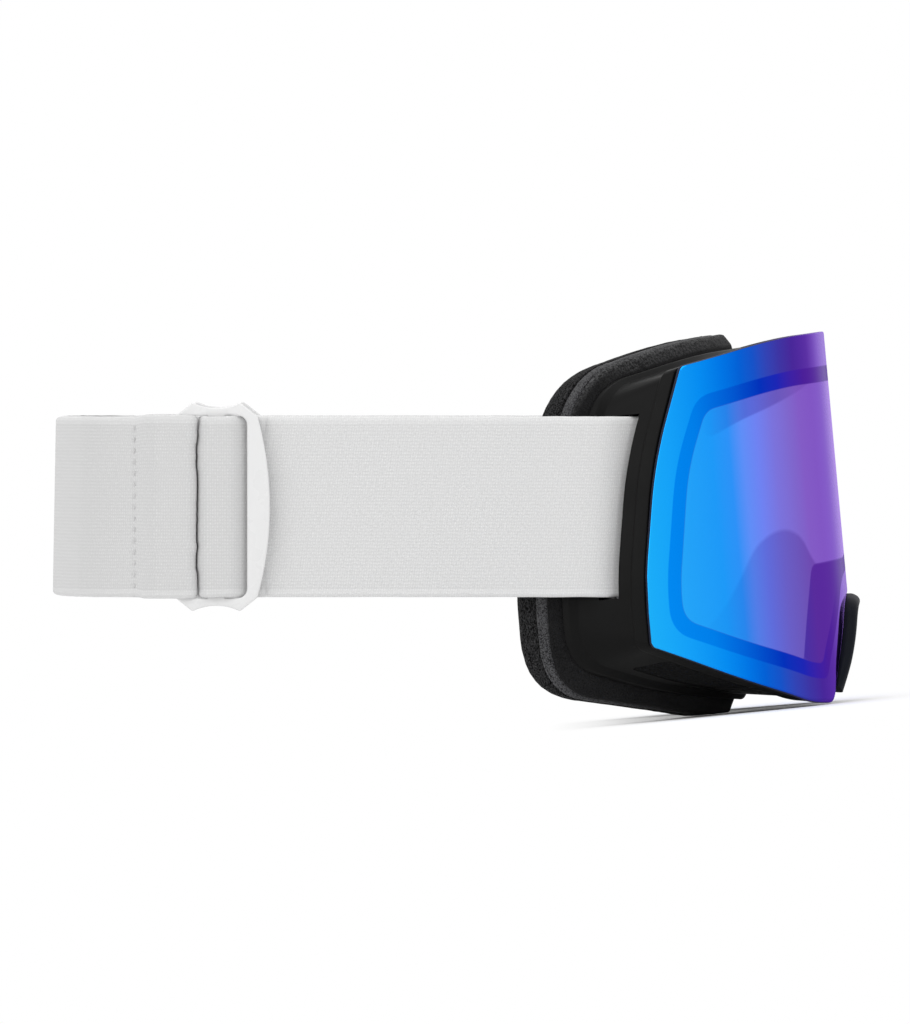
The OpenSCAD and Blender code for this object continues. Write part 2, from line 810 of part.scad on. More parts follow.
module slide_outline() {
    side_r = bulge_r(strap_w / 2, slide_bulge);
    dip_r = bulge_r(ear_half, ear_dip);
    wide = slide_half - slide_bulge;
    difference() {
        intersection() {
            translate([slide_half - side_r, 0]) circle(r = side_r, $fn = 180);
            translate([side_r - slide_half, 0]) circle(r = side_r, $fn = 180);
            polygon([for (sx = [-1, 1]) for (p = sx < 0
                    ? [[-ear_half, slide_h / 2], [-wide, strap_w / 2], [-slide_half, strap_w / 3],
                        [-slide_half, -strap_w / 3], [-wide, -strap_w / 2], [-ear_half, -slide_h / 2]]
                    : [[ear_half, -slide_h / 2], [wide, -strap_w / 2], [slide_half, -strap_w / 3],
                        [slide_half, strap_w / 3], [wide, strap_w / 2], [ear_half, slide_h / 2]]) p]);
        }
        for (end = [-1, 1])
            translate([0, end * (slide_h / 2 - ear_dip + dip_r)]) circle(r = dip_r, $fn = 72);
        translate([-bar_half - window_front, -strap_w / 2 - 0.8])
            square([window_front, strap_w + 1.6]);
        translate([bar_half, -strap_w / 2 - 0.8])
            square([window_rear, strap_w + 1.6]);
    }
}

module slide(side) {
    color("white")
        on_side(side)
            in_strap()
                translate([strap_x + plate_x, slide_s, 0])
                    rotate([90, 0, 90])
                        linear_extrude(slide_t)
                            slide_outline();
}

// Webbing that passes over the slide's middle bar.
module strap_wrap(side) {
    rise = over_x - under_x;
    front = -bar_half - window_front;
    color("#e2e4e9")
        on_side(side)
            webbing([for (p = [
                    [0, front - 5],
                    [0, front - 0.6],
                    [0.06, front + 0.7],
                    [0.5, front + 2.6],
                    [0.92, front + 4.3],
                    [1, -bar_half + 0.5],
                    [1, bar_half - 0.3],
                    [0.92, bar_half + 0.9],
                    [0.62, bar_half + 1.9],
                    [0.3, bar_half + 2.5],
                    [0, bar_half + 2.7]])
                [strap_x + under_x + p[0] * rise, slide_s + p[1]]]);
}

// Rear strap

corner_x = strap_x + rear_x - corner_r;
turn = asin(corner_x / (bow_r - corner_r));
corner_s = strap_back - bow_r + (bow_r - corner_r) * cos(turn);

// Plan of the rear strap's right half, moved inward, from an angle on its corner.
function corner_line(in, from, steps) = [for (k = [0 : steps]) let (
        a = from + (90 - turn - from) * k / steps)
    [corner_x + (corner_r - in) * cos(a), corner_s + (corner_r - in) * sin(a)]];
function bow_line(in, steps) = [for (k = [1 : steps]) let (a = turn * (1 - k / steps))
    [(bow_r - in) * sin(a), strap_back - bow_r + (bow_r - in) * cos(a)]];

bar_s = slide_s + bar_half + window_rear;
turn_r = (over_x - under_x) / 2;
turn_x = strap_x + (over_x + under_x) / 2;
// Place of the webbing's turn behind the front edge of the rear bar
turn_s = 0.75;
seam_a = asin((seam_s - corner_s) / corner_r);

// Webbing round the slide's rear bar, back to the seam and on to the middle.
rear_line = concat(
    [for (a = [seam_a + 7, seam_a / 2, 0]) let (r = corner_r - rear_x + under_x)
        [corner_x + r * cos(a), corner_s + r * sin(a)]],
    [for (k = [0 : 8]) let (a = -180 * k / 8)
        [turn_x - turn_r * cos(a), bar_s + turn_s + turn_r * sin(a)]],
    [for (share = [0 : 0.25 : 0.75]) let (
            a = seam_a * share,
            r = corner_r + (over_x - rear_x) * (1 - share) * (1 - share))
        [corner_x + r * cos(a), corner_s + r * sin(a)]],
    corner_line(0, seam_a, 9),
    bow_line(0, 6));

module strap_rear() {
    color("#d8dae0")
        for (side = [-1, 1]) on_side(side)
            webbing(concat(rear_line, [[-0.5, rear_line[len(rear_line) - 1][1]]]));
}

module strap_seam(side) {
    count = floor((strap_w - 4) / stitch_pitch);
    r = corner_r + strap_t / 2 + 0.03;
    color("#8a8d94")
        on_side(side)
            in_strap()
                for (k = [0 : count])
                    translate([
                        corner_x + r * cos(seam_a),
                        corner_s + r * sin(seam_a),
                        (k - count / 2) * stitch_pitch])
                        rotate([0, 0, seam_a])
                            translate([0, -thread_t / 2, -stitch_l / 2])
                                cube([thread_t, thread_t, stitch_l]);
}

module strap_grip() {
    in = strap_t / 2 + grip_t / 2 + 0.05;
    line = concat(corner_line(in, 60, 4), bow_line(in, 6));
    color("#b9bcc4")
        for (side = [-1, 1]) on_side(side)
            in_strap()
                for (k = [-1 : 1])
                    translate([0, 0, k * grip_pitch - grip_h / 2])
                        linear_extrude(grip_h)
                            polygon(band(concat(line, [[-0.5, line[len(line) - 1][1]]]), grip_t));
}

outer_lens();
lens_gasket();
inner_lens();
lens_carrier();
lens_magnets();
frame_shell();
frame_magnets();
nose_piece();
top_vent_foam();
bottom_vent_foam(1);  // bottom_vent_foam_left
bottom_vent_foam(-1);  // bottom_vent_foam_right
face_foam_base();
face_foam_mid();
face_foam_fleece();
strap_anchor(1);  // strap_anchor_left
strap_anchor(-1);  // strap_anchor_right
strap_front(1);  // strap_front_left
strap_front(-1);  // strap_front_right
slide(1);  // slide_left
slide(-1);  // slide_right
strap_wrap(1);  // strap_wrap_left
strap_wrap(-1);  // strap_wrap_right
strap_rear();
strap_seam(1);  // strap_seam_left
strap_seam(-1);  // strap_seam_right
strap_grip();
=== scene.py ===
"""Looks of the snow goggles: every piece is made here in the part's own frame, in metres.

The lens faces -Y, +Z is up and X = 0 is the plane of symmetry. Sizes below are in
millimetres and follow the part's named sizes; MM turns them into metres.
"""

import functools
from math import asin, cos, pi, radians, sin, sqrt

import bmesh
import bpy
import numpy as np
from numpy.linalg import norm
from mathutils import Matrix, Vector, noise


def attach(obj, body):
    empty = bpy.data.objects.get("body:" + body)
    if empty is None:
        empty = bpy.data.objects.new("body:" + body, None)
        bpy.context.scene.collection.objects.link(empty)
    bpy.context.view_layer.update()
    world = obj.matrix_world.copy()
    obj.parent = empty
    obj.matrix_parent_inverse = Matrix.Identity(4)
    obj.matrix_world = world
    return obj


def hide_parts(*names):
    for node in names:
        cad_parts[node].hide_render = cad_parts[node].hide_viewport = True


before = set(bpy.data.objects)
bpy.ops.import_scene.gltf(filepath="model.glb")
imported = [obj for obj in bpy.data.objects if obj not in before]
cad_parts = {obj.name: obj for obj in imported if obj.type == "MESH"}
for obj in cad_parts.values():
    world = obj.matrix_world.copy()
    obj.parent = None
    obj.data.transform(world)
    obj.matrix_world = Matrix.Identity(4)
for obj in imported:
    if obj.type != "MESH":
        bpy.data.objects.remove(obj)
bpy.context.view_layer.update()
MM = 0.001

# ---- sizes
LENS_R, LENS_T, GASKET_T, PANE_T, CARRIER_T, SEAT_GAP = 96.0, 1.4, 3.0, 0.8, 1.8, 0.2
GASKET_IN, GASKET_W, GASKET_DROP = 6.5, 4.3, 2.9
ARCH_Z = 30.6
FRAME_IN, FRAME_LIFT, FRAME_D, WALL_T = 0.6, 3.4, 22.0, 2.4
RIM_W, RIM_T, FLANGE_W, FLANGE_T = 5.4, 2.2, 12.0, 2.0
STRIP_D, PANEL_IN, PANEL_SLOPE, FLANGE_FILLET, LEAN = 3.8, 1.0, 0.8, 1.2, 0.3
REAR_FALL, FALL_HIGH, FALL_LOW = 1.6, 96.9, 38.0
VENT_BACK, VENT_D, VENT_MID, VENT_RIB, VENT_SIDE = 6.0, 10.0, 11.0, 4.0, 22.0
VENT_LOW, VENT_LOW_W, VENT_FOAM_T, VENT_GAP, VENT_SINK = 62.0, 34.0, 1.6, 0.15, 0.4
FOAM_RISE, FOAM_SOLE, FOAM_FLAT, FOAM_W = 1.9, 0.5, 0.6, 15.0
BASE_T, RIDGE_T, CROWN_T, FLEECE_T, GLUE = 4.4, 2.9, 10.0, 1.2, 0.35
STRAP_W, STRAP_T, STRAP_Z, STRAP_BACK = 50.0, 1.6, 59.7, 157.0
RISE = radians(5.24)
STRAP_SPLAY, CORNER_R, BOW_R, TAIL_END, TAIL_IN = 4.8, 22.0, 320.0, 136.5, 5.0
SLOT_BACK, SLOT_W, ROD_R, ROD_IN, ROD_SEAT = 6.7, 5.2, 1.5, 6.9, 2.6
SLIDE_S, SLIDE_H, SLIDE_HALF, SLIDE_BULGE = 112.2, 57.6, 14.8, 3.4
EAR_HALF, EAR_DIP, SLIDE_T, BAR_HALF = 6.5, 1.5, 2.4, 2.2
WINDOW_FRONT, WINDOW_REAR, PLAY, SEAM_S = 6.3, 6.4, 0.2, 134.6
LIP_OUT, SKIRT_T, SKIRT_D, LIP_IN, LIP_W, NOSE_GAP = 4.1, 1.8, 17.0, 0.5, 3.5, 0.2
VENT_R, SLOT_EASE, LIP_SIZE, STITCHES, STITCH_PITCH = 1.6, 0.35, 0.82, 14, 3.1
BAR_R, FAR_R, END_R, END_LEAN = 0.7, 2.6, 1.4, 0.018
SEAT_T = LENS_T + CARRIER_T + SEAT_GAP
PANE_R = LENS_R - LENS_T - GASKET_T
WALL_IN = FRAME_IN + PANEL_IN
FOAM_FRONT = FRAME_D + GLUE


# ---- outlines
def half_outline(rise, sole, lift, brow, cheek, droop=0.0, cheek_z=19.5, toe_z=1.1):
    """Right half of an outline on the unrolled lens, as (u, z, rounding reach)."""
    return [
        (0, 103 + rise, 30), (54.3, 102.2 + rise - droop * 0.3, 30),
        (92.2, 96.9 + rise - droop, brow), (103.2, 72, 14), (109.6, 38, 9),
        (109.6, cheek_z * sole, cheek), (80.5, 8.9 * sole, 14), (50, toe_z * sole + lift, 6),
        (36, lift, 3), (30.5, 9 + lift / 2, 5), (13.8, ARCH_Z - 2.2, 6), (0, ARCH_Z, 6)]


LENS = half_outline(0, 1, 0, 1.2, 0.8, cheek_z=20.5, toe_z=0.7)
BAND = half_outline(-GASKET_DROP, 1, 0, 5, 10)
FLANGE = half_outline(-2.5, 0.86, FRAME_LIFT, 9, 13, 0.7)
FOAM = half_outline(FOAM_RISE, FOAM_SOLE, -FOAM_FLAT, 16, 24, 1.6)
CURVE, FILLET, PITCH_ON_RUNS = 8, 3, 1.6
TOP_Z, SOLE_U, SOLE_Z, SIDE_U, SIDE_Z = 90, 36, 18.5, 92.2, 20.5


def whole(half):
    """Outline from its right half, whose two ends lie on the plane of symmetry."""
    return np.array(half + [(-u, z, r) for u, z, r in half[-2:0:-1]], float)


def mix(a, b, share):
    return [tuple(np.array(p) * (1 - share) + np.array(q) * share) for p, q in zip(a, b)]


def unit(v):
    return v / norm(v)


def drawn_in(line, inset):
    """Outline drawn in by a distance, corner by corner."""
    out, n = line.copy(), len(line)
    for i in range(n):
        a = unit(line[i, :2] - line[i - 1, :2])
        b = unit(line[(i + 1) % n, :2] - line[i, :2])
        a, b = np.array([a[1], -a[0]]), np.array([b[1], -b[0]])
        out[i, :2] = line[i, :2] + inset * (a + b) / (1 + a @ b)
    return out


def corner(before, here, after, reach, most):
    """Start, tip and end of a rounding that takes at most a share of either side."""
    back, on = before - here, after - here
    reach = min(reach, most * norm(back), most * norm(on))
    return here + unit(back) * reach, here, here + unit(on) * reach


def bend(p, tip, q, steps):
    """Points of a rounding, from its start to its end."""
    return [p * (1 - s) ** 2 + tip * 2 * s * (1 - s) + q * s * s
            for s in (k / steps for k in range(steps + 1))]


def corners_of(line):
    at, n = line[:, :2], len(line)
    return [corner(at[i - 1], at[i], at[(i + 1) % n], line[i, 2], 0.48) for i in range(n)]


def runs_of(line):
    """Number of points to set along each straight run."""
    ends = corners_of(line)
    return [int(norm(after[0] - end[2]) / PITCH_ON_RUNS)
            for end, after in zip(ends, ends[1:] + ends[:1])]


RUNS = runs_of(whole(LENS))


def rounded(line, runs=RUNS):
    """Outline with rounded corners and points along its straight runs."""
    ends, out = corners_of(line), []
    for i, (p, tip, q) in enumerate(ends):
        out += bend(p, tip, q, CURVE)
        nxt = ends[(i + 1) % len(ends)][0]
        for k in range(runs[i]):
            t = (k + 1) / (runs[i] + 1)
            out.append(q * (1 - t) + nxt * t)
    return np.array(out)


def outline(half, inset):
    return rounded(drawn_in(whole(half), inset))


def fall(z, back):
    """How far back a place lies besides its own depth, for its height."""
    start, end = STRIP_D + PANEL_SLOPE, FRAME_D - FLANGE_T - FLANGE_FILLET
    return REAR_FALL * np.clip((FALL_HIGH - z) / (FALL_HIGH - FALL_LOW), 0, 1) * np.clip(
        (back - start) / (end - start), 0, 1)


def place(u, z, deep, back):
    """Points in the row frame, in millimetres, for places on the unrolled lens."""
    u, z, deep, back = np.broadcast_arrays(*[np.asarray(x, float) for x in (u, z, deep, back)])
    a, r = u / LENS_R, LENS_R - deep
    return np.stack([
        r * np.sin(a) - back * np.sin(LEAN * a),
        -r * np.cos(a) + back * np.cos(LEAN * a) + fall(z, back) + SHIFT_Y,
        np.maximum(z, 0)], -1)


def frame_half(back):
    return mix(LENS, FLANGE, back / FRAME_D)


@functools.cache
def edge(back):
    return rounded(whole(frame_half(back)))


def read_off(part, axis, at):
    """Places on part of an outline, read off along one of its axes."""
    part = part[np.argsort(part[:, axis])]
    return np.interp(at, part[:, axis], part[:, 1 - axis])


def z_top(u, back):
    e = edge(back)
    return read_off(e[e[:, 1] > TOP_Z], 0, u)


def z_sole(u, back):
    e = edge(back)
    return read_off(e[(e[:, 0] > SOLE_U) & (e[:, 1] < SOLE_Z)], 0, u)


def u_side(z, back):
    e = edge(back)
    return read_off(e[(e[:, 0] > SIDE_U) & (e[:, 1] > SIDE_Z)], 1, z)


SLOT_A = float(u_side(STRAP_Z, SLOT_BACK)) / LENS_R
SLOT_F = float((LENS_R - SEAT_T) * cos(SLOT_A) - SLOT_BACK * cos(LEAN * SLOT_A)
               - fall(STRAP_Z, SLOT_BACK))
REAR_Y = -SLOT_F + (STRAP_BACK + STRAP_T / 2) * cos(RISE) + STRAP_W / 2 * sin(RISE)
SHIFT_Y = (LENS_R + LIP_OUT - REAR_Y) / 2
SLOT_Y = -SLOT_F + SHIFT_Y


# ---- mesh helpers
def linked(name, data):
    ob = bpy.data.objects.new(name, data)
    bpy.context.scene.collection.objects.link(ob)
    return ob


def mesh_of(name, points, faces):
    """A mesh from points in millimetres."""
    mesh = bpy.data.meshes.new(name)
    mesh.from_pydata([tuple(p) for p in np.asarray(points) * MM], [], faces)
    return mesh


def piece(name, points, faces, material, body, slot, replaces, sharp=35):
    """A smooth mesh object that rides on a CAD body and replaces CAD nodes."""
    mesh = mesh_of(name, points, faces)
    mesh.validate()
    mesh.update()
    mesh.shade_smooth()
    mesh.set_sharp_from_angle(angle=radians(sharp))
    ob = linked(name, mesh)
    for m in material if isinstance(material, list) else [material]:
        mesh.materials.append(m)
    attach(ob, body)
    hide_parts(*replaces)
    return ob


def outward(ob, weld=0.0):
    """Turns the faces of closed bodies outward, with near points welded first."""
    bm = bmesh.new()
    bm.from_mesh(ob.data)
    if weld:
        bmesh.ops.remove_doubles(bm, verts=bm.verts, dist=weld)
    bmesh.ops.recalc_face_normals(bm, faces=bm.faces)
    bm.to_mesh(ob.data)
    bm.free()
    return ob


def mirrored(points):
    return np.asarray(points) * (-1, 1, 1)


def both(parts):
    """Parts, as (points, faces), and their mirror images."""
    return parts + [(mirrored(p), f) for p, f in parts]


SIDES = (("left", np.asarray), ("right", mirrored))


def ring_faces(n, k):
    """Faces of k loops of n points, the last loop joined to the first."""
    out = []
    for j in range(k):
        here, there = j * n, (j + 1) % k * n
        for i in range(n):
            nxt = (i + 1) % n
            out.append((here + i, here + nxt, there + nxt, there + i))
    return out


def tube_faces(n, k):
    """Faces of k loops of n points, with a cap on the first and on the last."""
    end = (k - 1) * n
    return ring_faces(n, k)[:end] + [tuple(range(n))[::-1], tuple(range(end, end + n))]


def grid_rim(n, m):
    """Border of a grid of n columns and m rows, as indices in their order round it."""
    return ([*range(n)] + [j * n + n - 1 for j in range(1, m)]
            + [(m - 1) * n + i for i in range(n - 2, -1, -1)]
            + [j * n for j in range(m - 2, 0, -1)])


def grid_faces(n, m, back):
    """Faces of two grids of n by m points that face apart, the second one from index back."""
    out = []
    for j in range(m - 1):
        for a in range(j * n, j * n + n - 1):
            b = back + a
            out += [(a, a + 1, a + n + 1, a + n), (b, b + n, b + n + 1, b + 1)]
    return out


def slab_faces(n, m):
    """Faces of two grids and of the rim between them."""
    rim, size = grid_rim(n, m), n * m
    return grid_faces(n, m, size) + [
        (j, i, i + size, j + size) for i, j in zip(rim, rim[1:] + rim[:1])]


def filleted(profile, r):
    """Closed profile of (x, y) with its corners rounded."""
    p, out = np.array(profile, float), []
    for i in range(len(p)):
        out += bend(*corner(p[i - 1], p[i], p[(i + 1) % len(p)], r, 0.45), FILLET)
    return out


def smoothed(line, times=3):
    """Open line with its corners cut, its ends kept."""
    line = np.asarray(line, float)
    for _ in range(times):
        q = line[:-1] * 0.75 + line[1:] * 0.25
        r = line[:-1] * 0.25 + line[1:] * 0.75
        mid = np.stack([q, r], 1).reshape(-1, line.shape[1])
        line = np.concatenate([line[:1], mid[1:-1], line[-1:]])
    return line


noise.seed_set(1)   # without it, noise_vector starts from the clock


def ripple(points, scale, depth, seed):
    """Points moved by smooth noise, the same on every run."""
    out = np.array(points, float)
    for p in out.reshape(-1, 3):
        n = noise.noise_vector(Vector(p / scale) + Vector((seed, 0, 0)))
        p += np.array(n) * depth
    return out


def joined(parts):
    pts, faces, base = [], [], 0
    for p, f in parts:
        pts.append(p)
        faces += [tuple(i + base for i in x) for x in f]
        base += len(p)
    return np.concatenate(pts), faces


def add_attribute(ob, name, values):
    at = ob.data.attributes.new(name, "FLOAT", "POINT")
    at.data.foreach_set("value", np.asarray(values, np.float32))


# ---- materials
def srgb(r, g, b):
    return tuple(x / 12.92 if x <= 0.04045 else ((x + 0.055) / 1.055) ** 2.4
                 for x in (r / 255, g / 255, b / 255)) + (1.0,)


def tint(v):
    """Colour of an 8-bit triple or grey level; a socket stays as it is."""
    if isinstance(v, int):
        v = (v, v, v)
    return srgb(*v) if isinstance(v, tuple) else v


class Nodes:
    """A node tree with short helpers. A node in place of a socket means its first output."""

    def __init__(self, tree):
        self.tree = tree

    def feed(self, socket, v):
        if isinstance(v, bpy.types.Node):
            v = v.outputs[0]
        if isinstance(v, bpy.types.NodeSocket):
            self.tree.links.new(v, socket)
        else:
            socket.default_value = v

    def node(self, kind, inputs=None, **props):
        n = self.tree.nodes.new("ShaderNode" + kind)
        for k, v in props.items():
            setattr(n, k, v)
        for k, v in (inputs or {}).items():
            self.feed(n.inputs[k], v)
        return n

    def coords(self, kind="Object"):
        return self.node("TexCoord").outputs[kind]

    def attribute(self, name):
        return self.node("Attribute", attribute_name=name).outputs["Fac"]

    def noise(self, vector, scale, detail=4.0, rough=0.5):
        return self.node("TexNoise", {
            "Vector": vector, "Scale": scale, "Detail": detail, "Roughness": rough})

    def scaled(self, vector, x, y, z):
        return self.node("Mapping", {"Vector": vector, "Scale": (x, y, z)})

    def math(self, op, a, b=0.5, c=0.5):
        return self.node("Math", {0: a, 1: b, 2: c}, operation=op)

    def times(self, a, b):
        return self.math("MULTIPLY", a, b)

    def times_add(self, a, b, c):
        return self.math("MULTIPLY_ADD", a, b, c)

    def seen(self):
        """1 where the camera looks, also by way of a mirror or through glass."""
        rays = self.node("LightPath").outputs
        return self.math("MAXIMUM", rays["Is Transmission Ray"], self.math(
            "MAXIMUM", rays["Is Camera Ray"], rays["Is Glossy Ray"]))

    def ramp(self, fac, *stops):
        """Ramp through stops of (place, 8-bit colour) or (place, value)."""
        n = self.node("ValToRGB", {"Fac": fac})
        e = n.color_ramp.elements
        while len(e) < len(stops):
            e.new(0.5)
        for el, (at, v) in zip(e, stops):
            el.position = at
            el.color = tint(v) if isinstance(v, tuple) else (v, v, v, 1)
        return n

    def mixed(self, fac, a, b):
        return self.node("Mix", {"Factor": fac, "A": tint(a), "B": tint(b)},
                         data_type="RGBA").outputs["Result"]


class Mat(Nodes):
    """A material with one Principled shader."""

    def __init__(self, name, **values):
        self.mat = bpy.data.materials.new(name)
        self.mat.use_nodes = True
        super().__init__(self.mat.node_tree)
        self.bsdf = self.tree.nodes["Principled BSDF"]
        for k, v in values.items():
            self.bsdf.inputs[k.replace("_", " ")].default_value = v

    def colour(self, v):
        self.feed(self.bsdf.inputs["Base Color"], v)

    def rough(self, v):
        self.feed(self.bsdf.inputs["Roughness"], v)

    def bump(self, height, distance, strength):
        self.feed(self.bsdf.inputs["Normal"], self.node("Bump", {
            "Height": height, "Distance": distance, "Strength": strength}))

    def surface(self, share, first, second):
        """Shows a share of the second shader over the first."""
        self.feed(self.tree.nodes["Material Output"].inputs["Surface"],
                  self.node("MixShader", {0: share, 1: first, 2: second}))

    def see_through(self, share, colour, shader=None):
        self.surface(share, shader or self.bsdf,
                     self.node("BsdfTransparent", {"Color": srgb(*colour)}))


def lens_front_material():
    """Mirror coating: blue at the sides, violet in the middle, darker over the gasket, with
    painted shade below its top band.
    """
    m = Mat("lens_mirror", Metallic=1.0, Roughness=0.06, Specular_Tint=srgb(196, 178, 232))

    def inside(zone, blur):
        return m.ramp(m.attribute(zone), (0.5 - blur, 0.0), (0.5 + blur, 1.0))

    soft = m.noise(m.scaled(m.coords(), 9, 9, 1.6), 3.0, 2.0)
    turn = m.math("ADD", m.attribute("turn"), m.times(m.math("SUBTRACT", soft, 0.5), 0.05))
    rim = m.ramp(
        turn, (0.0, (158, 122, 222)), (0.19, (156, 118, 218)), (0.25, (122, 84, 188)),
        (0.3, (96, 62, 166)), (0.4, (76, 51, 156)), (0.47, (64, 60, 168)),
        (0.53, (52, 72, 186)), (0.59, (22, 86, 206)), (0.65, (2, 100, 220)),
        (0.71, (0, 120, 235)), (0.79, (6, 144, 248)), (0.9, (21, 165, 255)),
        (1.0, (29, 179, 255)))
    band = m.ramp(
        turn, (0.0, (96, 60, 158)), (0.22, (86, 48, 150)), (0.34, (78, 46, 154)),
        (0.42, (62, 44, 170)), (0.49, (28, 44, 186)), (0.57, (0, 52, 192)),
        (0.64, (0, 76, 206)), (0.7, (0, 96, 219)), (0.76, (0, 113, 230)),
        (0.82, (0, 130, 240)), (1.0, (3, 145, 251)))
    pane = m.ramp(
        turn, (0.0, (186, 148, 240)), (0.15, (165, 127, 224)), (0.22, (151, 112, 213)),
        (0.3, (145, 106, 206)), (0.39, (142, 105, 206)), (0.45, (135, 112, 212)),
        (0.53, (128, 121, 227)), (0.6, (115, 135, 249)), (0.66, (98, 147, 255)),
        (0.71, (46, 150, 255)), (0.77, (30, 158, 255)), (1.0, (42, 177, 255)))
    behind_and_painted_shade = m.ramp(
        turn, (0.3, (80, 44, 142)), (0.4, (78, 44, 142)), (0.5, (76, 52, 158)),
        (0.62, (66, 66, 190)), (0.7, (18, 72, 196)), (0.8, (10, 110, 226)))
    # painted shade: the wedge darkens the pane below the top band, where the gasket's side wall
    # casts shade; the hump darkens it where the nose foam shows through
    hump_and_painted_shade = m.math(
        "MAXIMUM",
        m.times(inside("shade_wedge", 0.015),
                m.ramp(turn, (0.4, 0.2), (0.5, 0.45), (0.64, 0.5), (0.8, 0.0))),
        m.times(inside("hump", 0.03), m.ramp(turn, (0.6, 0.42), (0.78, 0.1))))
    nose = m.ramp(turn, (0.15, (82, 44, 148)), (0.3, (95, 57, 158)), (0.4, (94, 56, 160)),
                  (0.5, (70, 56, 170)))
    near_nose = m.ramp(m.attribute("wide"), (0.478, 1.0), (0.492, 0.78), (0.508, 0.0))
    pane = m.mixed(near_nose, m.mixed(hump_and_painted_shade, pane, behind_and_painted_shade), nose)
    col = m.mixed(inside("inner", 0.007), m.mixed(inside("cover", 0.007), rim, band), pane)
    m.colour(col)
    # the coating keeps its colour at a grazing angle, where bare metal would turn white
    graze = m.ramp(m.node("LayerWeight", {"Blend": 0.5}).outputs["Facing"],
                   (0.78, 0.0), (0.93, 0.85))
    satin = m.node("BsdfDiffuse", {"Color": col})
    m.see_through(0.06, (176, 150, 214), m.node("MixShader", {0: graze, 1: m.bsdf, 2: satin}))
    return m.mat


def lens_back_material():
    m = Mat("lens_inside", Roughness=0.05, IOR=1.58)
    m.colour(m.mixed(m.noise(m.coords(), 60.0), (78, 56, 70), (66, 50, 66)))
    m.see_through(0.82, (196, 170, 190))
    return m.mat


def lens_edge_material():
    m = Mat("lens_cut_edge", Roughness=0.5, IOR=1.58, Specular_IOR_Level=0.12)
    cut = m.ramp(m.attribute("turn"), (0.0, (130, 92, 196)), (0.26, (104, 70, 168)),
                 (0.42, (48, 32, 90)), (0.6, (8, 26, 52)), (1.0, (8, 30, 54)))
    m.colour(m.mixed(m.times(m.noise(m.coords(), 500.0), 0.4), cut, (60, 40, 40)))
    return m.mat


def pane_material():
    m = Mat("anti_fog_pane", Roughness=0.04, IOR=1.45)
    m.colour(m.mixed(m.noise(m.coords(), 80.0), (200, 204, 214), (214, 216, 222)))
    m.see_through(0.9, (226, 230, 236))
    return m.mat


def plastic_material(name, dark, light, rough, grain=900.0, depth=0.00003, **more):
    """Moulded plastic: fine spark texture, slight unevenness of colour and gloss."""
    m = Mat(name, **more)
    co = m.coords()
    m.colour(m.mixed(m.noise(co, 35.0, 3.0), dark, light))
    m.rough(m.ramp(m.noise(co, 120.0), (0.3, rough - 0.05), (0.7, rough + 0.05)))
    m.bump(m.noise(co, grain, 3.0, 0.6), depth, 0.5)
    return m.mat


def foam_material(name, dark, light, pore, depth, sheen=0.15, crown=None):
    """Open-cell foam: pores, light speckle of cut cells, a soft edge and, with crown, a painted
    highlight on its upward-facing side.
    """
    m = Mat(name, Roughness=0.95, Sheen_Weight=sheen, Sheen_Roughness=0.6,
            Specular_IOR_Level=0.06)
    co = m.coords()
    cells = m.node("TexVoronoi", {"Vector": co, "Scale": pore})
    speck = m.noise(co, pore * 0.8, 2.0, 0.7)
    tone = m.times_add(speck, 1.3, m.times_add(m.noise(co, 60.0, 3.0), 0.25, 0.125))
    cut = m.mixed(m.ramp(tone, (0.74, 0.0), (1.02, 1.0)), dark, light)
    if crown:
        # painted highlight: upward-facing sides are speckled lighter, as if lit from above
        up = m.node("SeparateXYZ", {"Vector": m.coords("Normal")}).outputs["Z"]
        top_lit_speckle = m.ramp(m.noise(co, 1500.0, 3.0, 0.75), (0.42, 0.0), (0.62, 1.0))
        cut = m.mixed(m.times(m.ramp(up, (0.25, 0.0), (0.7, 1.0)), top_lit_speckle), cut, crown)
    m.colour(cut)
    m.bump(m.math("ADD", cells, m.times(speck, 0.8)), depth, 0.9)
    return m.mat


def fleece_material():
    """Brushed fleece: short fibres lying along the crown, with a soft sheen."""
    m = Mat("fleece", Roughness=0.95, Sheen_Weight=0.03, Sheen_Roughness=0.45,
            Specular_IOR_Level=0.05)
    fibre = m.noise(m.scaled(m.coords(), 1.0, 1.0, 0.5), 3600.0, 3.0)
    fibre.inputs["Distortion"].default_value = 0.6
    m.colour(m.mixed(m.ramp(fibre, (0.42, 0.0), (0.6, 1.0)), 1, (58, 58, 59)))
    m.bump(fibre, 0.0003, 0.9)
    return m.mat


